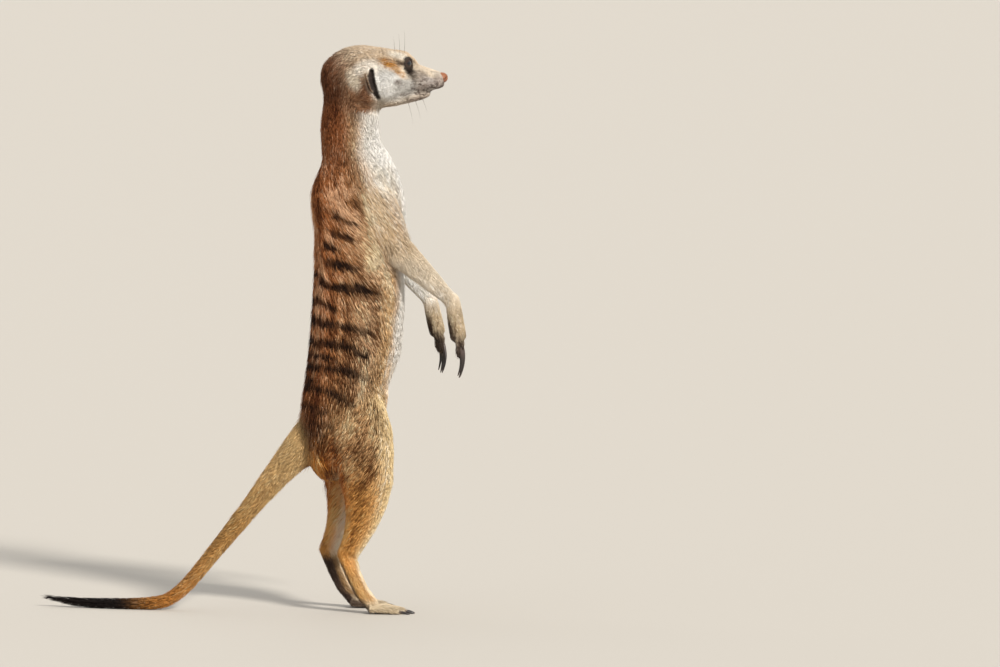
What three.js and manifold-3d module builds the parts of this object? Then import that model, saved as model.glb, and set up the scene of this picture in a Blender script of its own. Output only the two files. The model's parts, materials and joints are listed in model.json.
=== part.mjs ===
// A life-size meerkat (Suricata suricatta) standing upright on its hind feet, propped on its tail.
// Millimetres, +Z up, the animal faces -Y and its left side is +X. The origin is the centre of the
// footprint's bounding box, on the floor. Every solid reaches to the tips of the short coat.
import * as THREE from "three";
import { mergeVertices } from "three/addons/utils/BufferGeometryUtils.js";
import Module from "manifold-3d";

const wasm = await Module();
wasm.setup();

// ---- driving dimensions --------------------------------------------------------------------

const GAP = 0.3; // clear space left between neighbouring solids

const SIDES = { left: 1, right: -1 }; // the animal's left is +X

// Midline stations of neck and trunk, from the skull down: how far the back (rear) and the
// throat, chest or belly (front) lie forward of the heel line, and the breadth there.
const TRUNK = [
  { place: "skull base", up: 292, rear: -13, front: 8, width: 25, egg: 0 },
  { place: "throat", up: 270, rear: -17.4, front: 17, width: 28, egg: 0 },
  { place: "neck", up: 255, rear: -17.4, front: 15.8, width: 31, egg: 0 },
  { place: "neck root", up: 244, rear: -18.6, front: 23.5, width: 38, egg: 0.04 },
  { place: "shoulders", up: 233, rear: -22.2, front: 28.8, width: 45, egg: 0.05 },
  { place: "withers", up: 223, rear: -23.4, front: 30.6, width: 49, egg: 0.05 },
  { place: "chest", up: 210, rear: -20.9, front: 31.4, width: 50, egg: 0.05 },
  { place: "ribs", up: 183, rear: -21.6, front: 29.4, width: 52, egg: 0.06 },
  { place: "belly", up: 152, rear: -23.4, front: 30.6, width: 56, egg: 0.08 },
  { place: "waist", up: 127, rear: -25.8, front: 21.6, width: 54, egg: 0.04 },
  { place: "loin", up: 109, rear: -28.6, front: 18.5, width: 54, egg: -0.04 },
  { place: "hips", up: 92, rear: -29.5, front: 12, width: 48, egg: -0.08 },
  { place: "seat", up: 79, rear: -23, front: 2, width: 34, egg: -0.08 },
];
const NECK_CUT = 249;
const CHEST_CUT = 189;
const BELLY_CUT = 121;

// Head stations along the skull, from the nape to the nose: height of crown and of upper lip
// or cheek, and the breadth, which is greatest across the cheekbones.
const HEAD = [
  { place: "nape", forward: -10.4, top: 302.4, bottom: 275.4, width: 29, egg: 0 },
  { place: "occiput", forward: -5, top: 306.6, bottom: 273, width: 37, egg: -0.05 },
  { place: "crown", forward: 3.4, top: 309.6, bottom: 272, width: 43.5, egg: -0.1 },
  { place: "ears", forward: 10, top: 309, bottom: 273.5, width: 47, egg: -0.14 },
  { place: "cheekbones", forward: 17.5, top: 308.2, bottom: 275.5, width: 46, egg: -0.18 },
  { place: "temples", forward: 24, top: 306.6, bottom: 278.5, width: 38.5, egg: -0.12 },
  { place: "brow", forward: 28.6, top: 305.7, bottom: 278.7, width: 31.5, egg: -0.02 },
  { place: "bridge", forward: 33.2, top: 299.8, bottom: 281.9, width: 23.8, egg: -0.12 },
  { place: "cheek front", forward: 38, top: 297.8, bottom: 283.1, width: 18.8, egg: -0.16 },
  { place: "muzzle", forward: 44, top: 295.8, bottom: 284.2, width: 15.2, egg: -0.14 },
  { place: "lip", forward: 48.8, top: 294.4, bottom: 285.2, width: 12, egg: -0.1 },
];
const JAW = [
  { place: "jaw angle", forward: 14, top: 284, bottom: 274.3, width: 30 },
  { place: "cheek", forward: 22, top: 284, bottom: 275.2, width: 25 },
  { place: "mouth corner", forward: 31, top: 283.8, bottom: 277.2, width: 18 },
  { place: "lower lip", forward: 38, top: 283.9, bottom: 278.9, width: 13 },
  { place: "chin", forward: 42, top: 283.8, bottom: 280.6, width: 9 },
];
const NOSE = { forward: 49.8, up: 291.4, width: 8.2, height: 6.6, length: 5.2 };
const EYE = { side: 10.4, forward: 27.8, up: 298.9, radius: 4.7 };
const EAR = {
  top: [20.3, 9.2, 297.8],
  bottom: [20.6, 13.0, 279.6],
  reach: 8.4, // how far the flap stands out from the head
  thickness: 2,
  back: 3.4, // how far the middle of the flap bows backwards
};

// Tail stations from the rump to the black tip: across, forward, up, and thickness.
const TAIL = [
  { side: 0, forward: -20, up: 98, thick: 23 },
  { side: 0, forward: -29, up: 87.8, thick: 20.5 },
  { side: 0, forward: -40, up: 75.5, thick: 16 },
  { side: 0.5, forward: -59, up: 52, thick: 11 },
  { side: 1, forward: -78, up: 28.5, thick: 8.8 },
  { side: 1.5, forward: -91.5, up: 12.6, thick: 8.2 },
  { side: 2.5, forward: -102, up: 5, thick: 8 },
  { side: 6, forward: -118, up: 3.1, thick: 7 },
  { side: 12, forward: -136, up: 2.8, thick: 6.4 },
  { side: 19, forward: -153, up: 3.2, thick: 5 },
  { side: 25, forward: -168, up: 5.2, thick: 2.4 },
];
const TAIL_CUTS = [3, 6]; // stations at which the tail is divided

// Upper arm, forearm and hand as across (positive outwards), forward, up. palmTurn is how far,
// in radians, a palm is turned towards the other one rather than straight back.
const ARM = {
  right: {
    shoulder: [16.5, 12, 227],
    elbow: [20, 27, 196.5],
    wrist: [17.5, 55, 170],
    tips: [15.5, 58.6, 146.5],
    palmTurn: 0.12,
  },
  left: {
    shoulder: [16.5, 11, 227],
    elbow: [20, 22.5, 195.5],
    wrist: [16, 42.6, 168.5],
    tips: [14, 47.2, 148],
    palmTurn: 0.24,
  },
};
const UPPER_ARM = [
  { along: 0, depth: 23, width: 17 },
  { along: 0.5, depth: 21, width: 15 },
  { along: 1, depth: 17, width: 13 },
];
const FOREARM = [
  { along: 0, depth: 18, width: 13 },
  { along: 0.3, depth: 15.8, width: 12.4 },
  { along: 0.7, depth: 12, width: 10 },
  { along: 1, depth: 9.4, width: 8.6 },
];
const PALM = [
  { along: -0.1, depth: 9.2, width: 8.8 },
  { along: 0.45, depth: 9.4, width: 10.6 },
  { along: 0.84, depth: 9, width: 12 },
];
const HAND = {
  digits: 4,
  pitch: 2.95,
  digit: 4.2, // thickness of one finger
  reach: 11.5, // length of the free part of a finger
  fan: 0.04,
  claw: 15.5,
  clawBase: 2.3,
  clawTurn: 0.7,
  clawFrom: 0.72, // how far along its finger a claw is rooted
  clawSag: -0.2, // how far to the palm's side, in finger thicknesses
};

// Thigh and shank as one line down the hind leg, for the right leg; the left stands further back.
const LEG = [
  { place: "hip", side: 12, forward: -3.5, up: 122, depth: 32, width: 22 },
  { place: "thigh", side: 16, forward: 3, up: 102, depth: 40, width: 26 },
  { place: "knee", side: 19, forward: 8, up: 82, depth: 34, width: 22.5 },
  { place: "calf", side: 20, forward: 8.4, up: 62, depth: 26, width: 17.5 },
  { place: "lower shank", side: 20, forward: 4.6, up: 46, depth: 17.5, width: 12.5 },
  { place: "hock", side: 19.5, forward: -1, up: 34, depth: 13, width: 9.6 },
];
const KNEE_CUT = 74;
const FOOT = [
  { place: "heel", side: 19.5, forward: -2.8, up: 33.4, depth: 11.6, width: 9.2 },
  { place: "instep", side: 19.5, forward: 0.6, up: 22, depth: 9, width: 9 },
  { place: "sole", side: 19.8, forward: 5.4, up: 12, depth: 8.6, width: 10.4 },
  { place: "ball", side: 20, forward: 11.2, up: 4.6, depth: 8, width: 13.2 },
];
const STEP_BACK = { right: 0, left: -10.4 }; // the left leg below the hip stands this far behind
const TOES = {
  digits: 4,
  pitch: 3.7,
  digit: 5,
  reach: 18,
  fan: 0.09,
  claw: 7.5,
  clawBase: 2,
  clawTurn: 0.55,
  clawFrom: 1,
  clawSag: 0.16,
};

// ---- finishes ------------------------------------------------------------------------------

/** A plain finish with no metal in it. */
const finish = (color, roughness) =>
  new THREE.MeshStandardMaterial({ color, roughness, metalness: 0 });

const COAT = {
  back: finish(0x8a6140, 0.9),
  flank: finish(0xa98258, 0.9),
  pale: finish(0xd9cbb4, 0.9),
  limb: finish(0xc4a473, 0.9),
  dark: finish(0x2c1d16, 0.85),
};
const EYE_GLOSS = finish(0x140b08, 0.1);
const NOSE_SKIN = finish(0xa8603c, 0.5);
const EAR_SKIN = finish(0x2a1e18, 0.8);
const CLAW_HORN = finish(0x2e2420, 0.45);

// ---- shapes --------------------------------------------------------------------------------

/** A point from distances across (left positive), forward and up. */
const point = (side, forward, up) => new THREE.Vector3(side, -forward, up);
const SIDEWAYS = point(1, 0, 0);
const DOWN = point(0, 0, -1);

/** Puts stations of any kind into one form: a centre point with its width, depth and egg shape. */
const ring = (centre, width, depth, egg = 0) => ({ centre, width, depth, egg });

/**
 * A closed tube of egg-shaped rings that follows the stations on smooth curves. Each ring's width
 * lies along `across`, and each end is a dome that rises by its share `dome` of the end's radius.
 */
function loft(stations, shape) {
  const { sides, steps, dome = 0.5, domeTurns = [0.3, 0.65], across = SIDEWAYS, swell = 0 } = shape;
  const path = new THREE.CatmullRomCurve3(stations.map((s) => s.centre));
  const sizes = new THREE.CatmullRomCurve3(
    stations.map((s) => new THREE.Vector3(s.width, s.depth, s.egg)),
  );
  const corners = [];
  const addRing = (t, scale, push) => {
    const tangent = path.getTangent(t);
    const side = across.clone().addScaledVector(tangent, -across.dot(tangent)).normalize();
    const normal = new THREE.Vector3().crossVectors(tangent, side);
    const size = sizes.getPoint(t);
    const centre = path.getPoint(t).addScaledVector(tangent, push);
    for (let i = 0; i < sides; i += 1) {
      const angle = (2 * Math.PI * i) / sides;
      const wide = (size.x / 2 + swell) * scale * (1 + size.z * Math.sin(angle));
      const deep = (size.y / 2 + swell) * scale;
      corners.push(
        centre
          .clone()
          .addScaledVector(side, wide * Math.cos(angle))
          .addScaledVector(normal, deep * Math.sin(angle)),
      );
    }
  };
  const domeLength = (end) => {
    const { width, depth } = stations.at(end);
    return (dome * Math.min(width, depth)) / 2 + swell;
  };
  for (const turn of domeTurns) {
    const angle = (turn * Math.PI) / 2;
    addRing(0, Math.sin(angle), -domeLength(0) * Math.cos(angle));
  }
  for (let i = 0; i <= steps; i += 1) addRing(i / steps, 1, 0);
  for (const turn of domeTurns.toReversed()) {
    const angle = (turn * Math.PI) / 2;
    addRing(1, Math.sin(angle), domeLength(-1) * Math.cos(angle));
  }
  const rings = corners.length / sides;
  const first = corners.length;
  corners.push(path.getPoint(0).addScaledVector(path.getTangent(0), -domeLength(0)));
  corners.push(path.getPoint(1).addScaledVector(path.getTangent(1), domeLength(-1)));
  const faces = [];
  for (let i = 0; i < sides; i += 1) {
    const next = (i + 1) % sides;
    faces.push(first, next, i);
    for (let r = 0; r + 1 < rings; r += 1) {
      const here = r * sides;
      const there = here + sides;
      faces.push(here + i, here + next, there + i, here + next, there + next, there + i);
    }
    faces.push(first + 1, (rings - 1) * sides + i, (rings - 1) * sides + next);
  }
  const geometry = new THREE.BufferGeometry().setFromPoints(corners);
  geometry.setIndex(faces);
  return solidOf(geometry);
}

/** A closed geometry as a solid that can be joined and cut. */
function solidOf(geometry) {
  const bare = new THREE.BufferGeometry();
  bare.setAttribute("position", geometry.getAttribute("position"));
  bare.setIndex(geometry.index);
  const merged = mergeVertices(bare, 1e-4);
  return new wasm.Manifold(
    new wasm.Mesh({
      numProp: 3,
      vertProperties: new Float32Array(merged.getAttribute("position").array),
      triVerts: new Uint32Array(merged.index.array),
    }),
  );
}

/** The largest body of a solid, so that slivers left by a cut are dropped. */
function largest(solid) {
  return solid.decompose().reduce((best, body) => (body.volume() > best.volume() ? body : best));
}

/** Takes several solids away from one. */
const without = (solid, ...cutters) =>
  largest(cutters.reduce((rest, cutter) => rest.subtract(cutter), solid));

/** Joins several solids. */
const joined = (...solids) => solids.reduce((whole, solid) => whole.add(solid));

/** The slab of a solid between two heights, half a gap clear of each cut. */
function slab(solid, low, high) {
  const above = Number.isFinite(low) ? solid.trimByPlane([0, 0, 1], low + GAP / 2) : solid;
  return largest(Number.isFinite(high) ? above.trimByPlane([0, 0, -1], -(high - GAP / 2)) : above);
}

/** What stands on the floor gets small flats at its level. */
const onFloor = (solid) => largest(solid.trimByPlane([0, 0, 1], 0));

// ---- the parts -----------------------------------------------------------------------------

const trunkRings = TRUNK.map((s) =>
  ring(point(0, (s.rear + s.front) / 2, s.up), s.width, s.front - s.rear, s.egg),
);
const headRings = HEAD.map((s) =>
  ring(point(0, s.forward, (s.top + s.bottom) / 2), s.width, s.top - s.bottom, s.egg),
);
const jawRings = JAW.map((s) =>
  ring(point(0, s.forward, (s.top + s.bottom) / 2), s.width, s.top - s.bottom, 0),
);
const tailRings = TAIL.map((s) => ring(point(s.side, s.forward, s.up), s.thick, s.thick));

const trunkLoft = (swell = 0) => loft(trunkRings, { sides: 16, steps: 16, dome: 0.6, swell });
const headLoft = (swell = 0) => loft(headRings, { sides: 16, steps: 12, dome: 0.5, swell });
const jawLoft = (swell = 0) => loft(jawRings, { sides: 8, steps: 4, dome: 0.7, swell });
const tailLoft = (swell = 0) => loft(tailRings, { sides: 8, steps: 20, dome: 0.8, swell });

/** A ball, as a sphere geometry of the given radius. */
function ball(centre, radius, swell = 0) {
  const sphere = new THREE.SphereGeometry(radius + swell, 10, 6);
  sphere.translate(centre.x, centre.y, centre.z);
  return solidOf(sphere);
}

const eyeBall = (hand, swell) =>
  ball(point(hand * EYE.side, EYE.forward, EYE.up), EYE.radius, swell);

/** The bare pad at the muzzle's end. */
function nosePad(swell = 0) {
  const pad = new THREE.SphereGeometry(0.5, 10, 6);
  pad.scale(NOSE.width + 2 * swell, NOSE.length + 2 * swell, NOSE.height + 2 * swell);
  pad.translate(0, -NOSE.forward, NOSE.up);
  return solidOf(pad);
}

/** The ear's crescent flap: a thin blade along a bow, widest in the middle. */
function earFlap(hand, swell = 0) {
  const top = point(hand * EAR.top[0], EAR.top[1], EAR.top[2]);
  const bottom = point(hand * EAR.bottom[0], EAR.bottom[1], EAR.bottom[2]);
  const shares = [0, 0.25, 0.5, 0.75, 1];
  const rings = shares.map((share) => {
    const bow = Math.sin(Math.PI * (0.1 + 0.8 * share));
    const centre = top.clone().lerp(bottom, share).add(point(hand * bow * 1.2, -bow * EAR.back, 0));
    return ring(centre, EAR.reach * (0.35 + 0.65 * bow), EAR.thickness);
  });
  return loft(rings, { sides: 8, steps: 4, dome: 0.8, domeTurns: [0.5], swell });
}

/** A straight limb segment between two joints, with its sizes given along the way. */
function segment(from, to, sizes, options) {
  const rings = sizes.map((s) => ring(from.clone().lerp(to, s.along), s.width, s.depth));
  return loft(rings, options);
}

/** A claw: a thin cone that curves away from its first heading towards `toward`. */
function claw(root, heading, toward, sizes, swell = 0) {
  const count = 4;
  const axis = heading.clone().cross(toward).normalize();
  const place = root.clone();
  const rings = [];
  for (let i = 0; i < count; i += 1) {
    const share = i / (count - 1);
    const thick = sizes.clawBase * (1 - 0.8 * share);
    rings.push(ring(place.clone(), thick, 1.25 * thick));
    const way = heading.clone().applyAxisAngle(axis, sizes.clawTurn * share);
    place.addScaledVector(way, sizes.claw / (count - 1));
  }
  return loft(rings, { sides: 4, steps: count - 1, dome: 0.5, domeTurns: [], swell });
}

/** The digits of one hand or foot from the inner to the outer, spread along `across`. */
function digitsOf(root, heading, across, bend, sizes) {
  const middle = (sizes.digits - 1) / 2;
  return Array.from({ length: sizes.digits }, (_, i) => {
    const place = i - middle;
    const way = heading.clone().addScaledVector(across, place * sizes.fan).normalize();
    const reach = sizes.reach * (Math.abs(place) > 1 ? 0.84 : 1);
    const start = root.clone().addScaledVector(across, place * sizes.pitch);
    const along = (share, sag) =>
      start.clone().addScaledVector(way, reach * share).addScaledVector(bend, sizes.digit * sag);
    const knuckle = along(0.5, -0.12);
    const tip = along(1, 0.16);
    const rings = [
      ring(start, sizes.digit, sizes.digit),
      ring(knuckle, sizes.digit * 1.04, sizes.digit * 1.04),
      ring(tip, sizes.digit * 0.86, sizes.digit * 0.84),
    ];
    return {
      solid: loft(rings, { sides: 6, steps: 2, dome: 0.7, domeTurns: [0.6] }),
      claw: (swell) => claw(along(sizes.clawFrom, sizes.clawSag), way, bend, sizes, swell),
    };
  });
}

/** Upper arm, forearm, hand and claws of one side. */
function foreLimb(name, hand) {
  const pose = ARM[name];
  const [shoulder, elbow, wrist, tips] = [pose.shoulder, pose.elbow, pose.wrist, pose.tips].map(
    ([side, forward, up]) => point(hand * side, forward, up),
  );
  const [turnedAcross, turnedBack] = [Math.cos(pose.palmTurn), Math.sin(pose.palmTurn)];
  const outward = point(hand * turnedAcross, -turnedBack, 0); // across the palm
  const palmward = point(-hand * turnedBack, -turnedAcross, 0);
  const upper = (swell) =>
    segment(shoulder, elbow, UPPER_ARM, { sides: 10, steps: 3, dome: 0.9, swell });
  const fore = (swell) =>
    segment(elbow, wrist, FOREARM, { sides: 10, steps: 3, dome: 0.9, swell });
  const palmShape = { sides: 8, steps: 2, dome: 0.6, domeTurns: [0.5], across: outward };
  const palm = (swell) => segment(wrist, tips, PALM, { ...palmShape, swell });
  const heading = tips.clone().sub(wrist).normalize();
  const digits = digitsOf(wrist.clone().lerp(tips, 0.78), heading, outward, palmward, HAND);
  const paw = joined(palm(0), ...digits.map((digit) => digit.solid));
  return {
    kind: "fore",
    upper,
    fore,
    solids: {
      [`upper_arm_${name}`]: without(upper(0), fore(GAP)),
      [`forearm_${name}`]: without(fore(0), palm(GAP)),
      [`forepaw_${name}`]: without(paw, ...digits.map((digit) => digit.claw(GAP))),
    },
    claws: digits.map((digit) => digit.claw(0)),
  };
}

/** Thigh, shank, foot and claws of one side. */
function hindLimb(name, hand) {
  const back = STEP_BACK[name];
  const stepped = (s, share) => point(hand * s.side, s.forward + back * share, s.up);
  const legRings = LEG.map((s, i) => ring(stepped(s, Math.min(1, i / 3)), s.width, s.depth));
  const footRings = FOOT.map((s) => ring(stepped(s, 1), s.width, s.depth));
  const leg = (swell) => loft(legRings, { sides: 10, steps: 8, dome: 0.5, swell });
  const sole = (swell) =>
    loft(footRings, { sides: 8, steps: 3, dome: 0.7, domeTurns: [0.5], swell });
  const root = footRings.at(-1).centre.clone().add(point(0, -1, -1.9));
  const digits = digitsOf(root, point(0, 1, -0.04).normalize(), point(hand, 0, 0), DOWN, TOES);
  const foot = joined(sole(0), ...digits.map((digit) => digit.solid));
  return {
    kind: "hind",
    leg,
    solids: {
      [`thigh_${name}`]: slab(leg(0), KNEE_CUT, Infinity),
      [`shank_${name}`]: without(slab(leg(0), -Infinity, KNEE_CUT), sole(GAP)),
      [`hindfoot_${name}`]: onFloor(without(foot, ...digits.map((digit) => digit.claw(GAP)))),
    },
    claws: digits.map((digit) => onFloor(digit.claw(0))),
  };
}

/** The tail in lengths, each cut square to the tail's own line. */
function tailLengths() {
  const path = new THREE.CatmullRomCurve3(tailRings.map((r) => r.centre));
  const lengths = [];
  let rest = onFloor(tailLoft());
  for (const station of TAIL_CUTS) {
    const share = station / (TAIL.length - 1);
    const normal = path.getTangent(share);
    const offset = normal.dot(path.getPoint(share));
    const away = normal.clone().negate();
    lengths.push(largest(rest.trimByPlane(away.toArray(), -offset + GAP / 2)));
    rest = largest(rest.trimByPlane(normal.toArray(), offset + GAP / 2));
  }
  return [...lengths, rest];
}

// ---- assembly ------------------------------------------------------------------------------

const arms = Object.entries(SIDES).map(([name, hand]) => ({ name, ...foreLimb(name, hand) }));
const legs = Object.entries(SIDES).map(([name, hand]) => ({ name, ...hindLimb(name, hand) }));
const hands = Object.values(SIDES);
const [tailBase, tailMiddle, tailEnd] = tailLengths();

const armCuts = arms.flatMap((arm) => [arm.upper(GAP), arm.fore(GAP)]);
const legCuts = legs.map((leg) => leg.leg(GAP));
const trunk = trunkLoft();

const eyeCuts = hands.map((hand) => eyeBall(hand, GAP));
const parts = [
  ["head", without(headLoft(), nosePad(GAP), jawLoft(GAP), ...eyeCuts), COAT.pale],
  ["lower_jaw", without(jawLoft(), trunkLoft(GAP)), COAT.pale],
  ["nose", nosePad(), NOSE_SKIN],
  ["neck", without(slab(trunk, NECK_CUT, Infinity), headLoft(GAP)), COAT.back],
  ["chest", without(slab(trunk, CHEST_CUT, NECK_CUT), ...armCuts), COAT.flank],
  ["belly", without(slab(trunk, BELLY_CUT, CHEST_CUT), ...armCuts, ...legCuts), COAT.flank],
  ["rump", without(slab(trunk, -Infinity, BELLY_CUT), tailLoft(GAP), ...legCuts), COAT.back],
  ["tail_base", without(tailBase, ...legCuts), COAT.limb],
  ["tail_middle", tailMiddle, COAT.limb],
  ["tail_end", tailEnd, COAT.dark],
];
for (const [name, hand] of Object.entries(SIDES)) {
  parts.push([`eye_${name}`, eyeBall(hand), EYE_GLOSS]);
  parts.push([`ear_${name}`, without(earFlap(hand), headLoft(GAP), trunkLoft(GAP)), EAR_SKIN]);
}
for (const limb of [...arms, ...legs]) {
  for (const [name, solid] of Object.entries(limb.solids)) parts.push([name, solid, COAT.limb]);
  for (const [i, solid] of limb.claws.entries()) {
    parts.push([`claw_${limb.kind}_${limb.name}_${i + 1}`, solid, CLAW_HORN]);
  }
}

/** A solid as a named mesh. */
function meshOf(name, solid, material) {
  const { vertProperties, triVerts, numProp } = solid.getMesh();
  const geometry = new THREE.BufferGeometry();
  geometry.setAttribute("position", new THREE.BufferAttribute(vertProperties, numProp));
  geometry.setIndex(new THREE.BufferAttribute(triVerts, 1));
  geometry.computeVertexNormals();
  const mesh = new THREE.Mesh(geometry, material);
  mesh.name = name;
  return mesh;
}

const meerkat = new THREE.Group();
for (const [name, solid, material] of parts) meerkat.add(meshOf(name, solid, material));

// The origin goes to the middle of the footprint, at floor level.
const footprint = new THREE.Box3().setFromObject(meerkat).getCenter(new THREE.Vector3());
meerkat.position.set(-footprint.x, -footprint.y, 0);

export default meerkat;
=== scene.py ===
"""A life-size meerkat standing upright on its hind feet, propped on its tail.

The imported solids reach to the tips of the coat. This script casts one seamless skin inside them,
gives it lids, nostrils, a mouth and ears, and grows the short coat over it as joined tufts. Eyes,
nose and claws are pieces of their own.

Shapes are worked out in body millimetres: X to the animal's left, Y backwards from the line that
forward distances are measured from, Z up from the floor. `at(side, forward, up)` writes a place.
"""

from __future__ import annotations

import json
import logging
import math
from dataclasses import dataclass, field
from enum import Enum

import bmesh
import bpy
import numpy as np
from mathutils import Matrix, Vector
from mathutils.bvhtree import BVHTree

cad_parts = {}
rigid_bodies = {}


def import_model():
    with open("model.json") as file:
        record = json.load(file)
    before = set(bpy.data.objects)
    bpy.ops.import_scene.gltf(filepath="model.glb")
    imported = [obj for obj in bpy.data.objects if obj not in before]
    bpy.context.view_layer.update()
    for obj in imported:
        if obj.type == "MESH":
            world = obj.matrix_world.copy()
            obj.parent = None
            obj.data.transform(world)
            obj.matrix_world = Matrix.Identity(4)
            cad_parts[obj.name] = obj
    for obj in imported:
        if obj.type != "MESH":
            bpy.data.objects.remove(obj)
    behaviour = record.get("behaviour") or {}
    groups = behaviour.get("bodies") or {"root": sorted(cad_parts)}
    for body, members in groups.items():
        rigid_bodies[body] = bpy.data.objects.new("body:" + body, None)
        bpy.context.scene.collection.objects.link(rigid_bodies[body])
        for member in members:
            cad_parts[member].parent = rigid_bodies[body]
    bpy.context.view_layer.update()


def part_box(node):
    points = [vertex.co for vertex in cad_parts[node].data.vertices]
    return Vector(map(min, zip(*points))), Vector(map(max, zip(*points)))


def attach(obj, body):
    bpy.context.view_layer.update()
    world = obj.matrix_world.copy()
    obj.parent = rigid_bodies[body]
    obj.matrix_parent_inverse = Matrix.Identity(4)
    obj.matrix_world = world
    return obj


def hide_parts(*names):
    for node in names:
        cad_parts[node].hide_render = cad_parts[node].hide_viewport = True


log = logging.getLogger("meerkat")

MM = 0.001
NOSE_REACH = 52.4  # the nose tip lies this far forward of the heel line
SEED = 20


# ---- places and numbers ----


def at(side: float, forward: float, up: float) -> np.ndarray:
    """A place or direction in body millimetres, from distances across (left), forward and up."""
    return np.array([side, -forward, up], dtype=float)


def unit(vectors: np.ndarray) -> np.ndarray:
    """Vectors brought to length one."""
    size = np.linalg.norm(vectors, axis=-1, keepdims=True)
    return vectors / np.maximum(size, 1e-9)


def forward_up(points: np.ndarray) -> tuple[np.ndarray, np.ndarray]:
    """How far forward of the heel line, and how high over the floor, each place lies."""
    return -points[:, 1], points[:, 2]


def smooth_step(low: float | np.ndarray, high: float | np.ndarray, x: np.ndarray) -> np.ndarray:
    """0 below low, 1 above high, and an S-curve between; low may lie above high."""
    t = np.clip((x - low) / (high - low), 0.0, 1.0)
    return t * t * (3.0 - 2.0 * t)


def linear(hex_colour: str) -> np.ndarray:
    """An sRGB hex colour as linear red, green and blue."""
    srgb = np.array([int(hex_colour[i : i + 2], 16) for i in (0, 2, 4)]) / 255.0
    return np.where(srgb <= 0.04045, srgb / 12.92, ((srgb + 0.055) / 1.055) ** 2.4)


def rgba(hex_colour: str) -> tuple[float, float, float, float]:
    """An sRGB hex colour as a node socket's value."""
    return (*linear(hex_colour), 1.0)


def lattice_noise(points: np.ndarray, grain: float, seed: int = 0) -> np.ndarray:
    """Smooth noise between -1 and 1, the same each run.

    Args:
        points: Places in millimetres, one per row.
        grain: The size of its blotches, in millimetres.
        seed: Which noise.

    Returns:
        One value per place.
    """
    scaled = points / grain + 1000.0
    cell = np.floor(scaled).astype(np.int64)
    part = scaled - cell
    part = part * part * (3.0 - 2.0 * part)
    total = np.zeros(len(points))
    for corner in range(8):
        step = np.array([corner & 1, corner >> 1 & 1, corner >> 2 & 1])
        key = (cell + step) @ np.array([73856093, 19349663, 83492791]) + seed * 2654435
        key = (key ^ key >> 13) * 1274126177 & 0xFFFFFFFF
        key = (key ^ key >> 16) & 0xFFFF
        weight = np.prod(np.where(step, part, 1.0 - part), axis=1)
        total += weight * (key / 32767.5 - 1.0)
    return total


@dataclass
class Stance:
    """Ties body millimetres to the frame.

    Attributes:
        heel_line: The frame's Y, in millimetres, from which forward distances are measured.
    """

    heel_line: float

    @classmethod
    def from_frame(cls) -> Stance:
        """Reads the nose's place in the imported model."""
        low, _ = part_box("nose")
        return cls(heel_line=low[1] / MM + NOSE_REACH)

    def to_body(self, metres: np.ndarray) -> np.ndarray:
        """Frame metres as body millimetres."""
        return metres / MM - np.array([0.0, self.heel_line, 0.0])

    def to_frame(self, millimetres: np.ndarray) -> np.ndarray:
        """Body millimetres as frame metres."""
        return (millimetres + np.array([0.0, self.heel_line, 0.0])) * MM


# ---- the body's regions ----


class Region(Enum):
    """A part of the body with a coat of its own."""

    HEAD = 0
    EAR = 1
    NECK = 2
    CHEST = 3
    BELLY = 4
    RUMP = 5
    TAIL_BASE = 6
    TAIL_MIDDLE = 7
    TAIL_END = 8
    UPPER_ARM = 9
    FOREARM = 10
    FOREPAW = 11
    THIGH = 12
    SHANK = 13
    HINDFOOT = 14


@dataclass(frozen=True)
class Pelt:
    """The coat of one region, in millimetres.

    Attributes:
        length: How long the visible part of a tuft is.
        depth: How far the tips stand over the skin.
        width: How wide a tuft is.
        crowd: Tufts on a square millimetre.
        rounding: How far the solids' facets are smoothed.
        grizzle: How strongly dark and pale hairs mix, from 0 to 1.
    """

    length: float
    depth: float
    width: float
    crowd: float
    rounding: float
    grizzle: float


PELTS = {
    Region.HEAD: Pelt(2.6, 1.1, 0.29, 4.4, 2.0, 0.8),
    Region.EAR: Pelt(1.2, 0.4, 0.22, 5.0, 0.3, 0.3),
    Region.NECK: Pelt(4.8, 1.8, 0.35, 3.7, 3.6, 0.75),
    Region.CHEST: Pelt(6.2, 2.6, 0.46, 2.7, 4.2, 1.15),
    Region.BELLY: Pelt(6.2, 2.9, 0.47, 2.65, 4.2, 1.25),
    Region.RUMP: Pelt(6.4, 2.9, 0.48, 2.6, 4.0, 1.15),
    Region.TAIL_BASE: Pelt(5.6, 1.9, 0.31, 3.5, 2.4, 0.7),
    Region.TAIL_MIDDLE: Pelt(4.8, 1.4, 0.28, 3.5, 1.3, 0.75),
    Region.TAIL_END: Pelt(4.4, 1.2, 0.38, 2.6, 0.9, 0.5),
    Region.UPPER_ARM: Pelt(6.2, 2.3, 0.44, 2.6, 2.8, 1.1),
    Region.FOREARM: Pelt(3.8, 1.3, 0.32, 3.5, 1.8, 0.95),
    Region.FOREPAW: Pelt(2.2, 0.6, 0.26, 4.2, 0.6, 0.9),
    Region.THIGH: Pelt(6.6, 2.5, 0.44, 2.7, 3.4, 1.1),
    Region.SHANK: Pelt(5.4, 1.8, 0.36, 2.9, 2.2, 0.8),
    Region.HINDFOOT: Pelt(2.4, 0.6, 0.26, 3.4, 0.6, 0.5),
}

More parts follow.
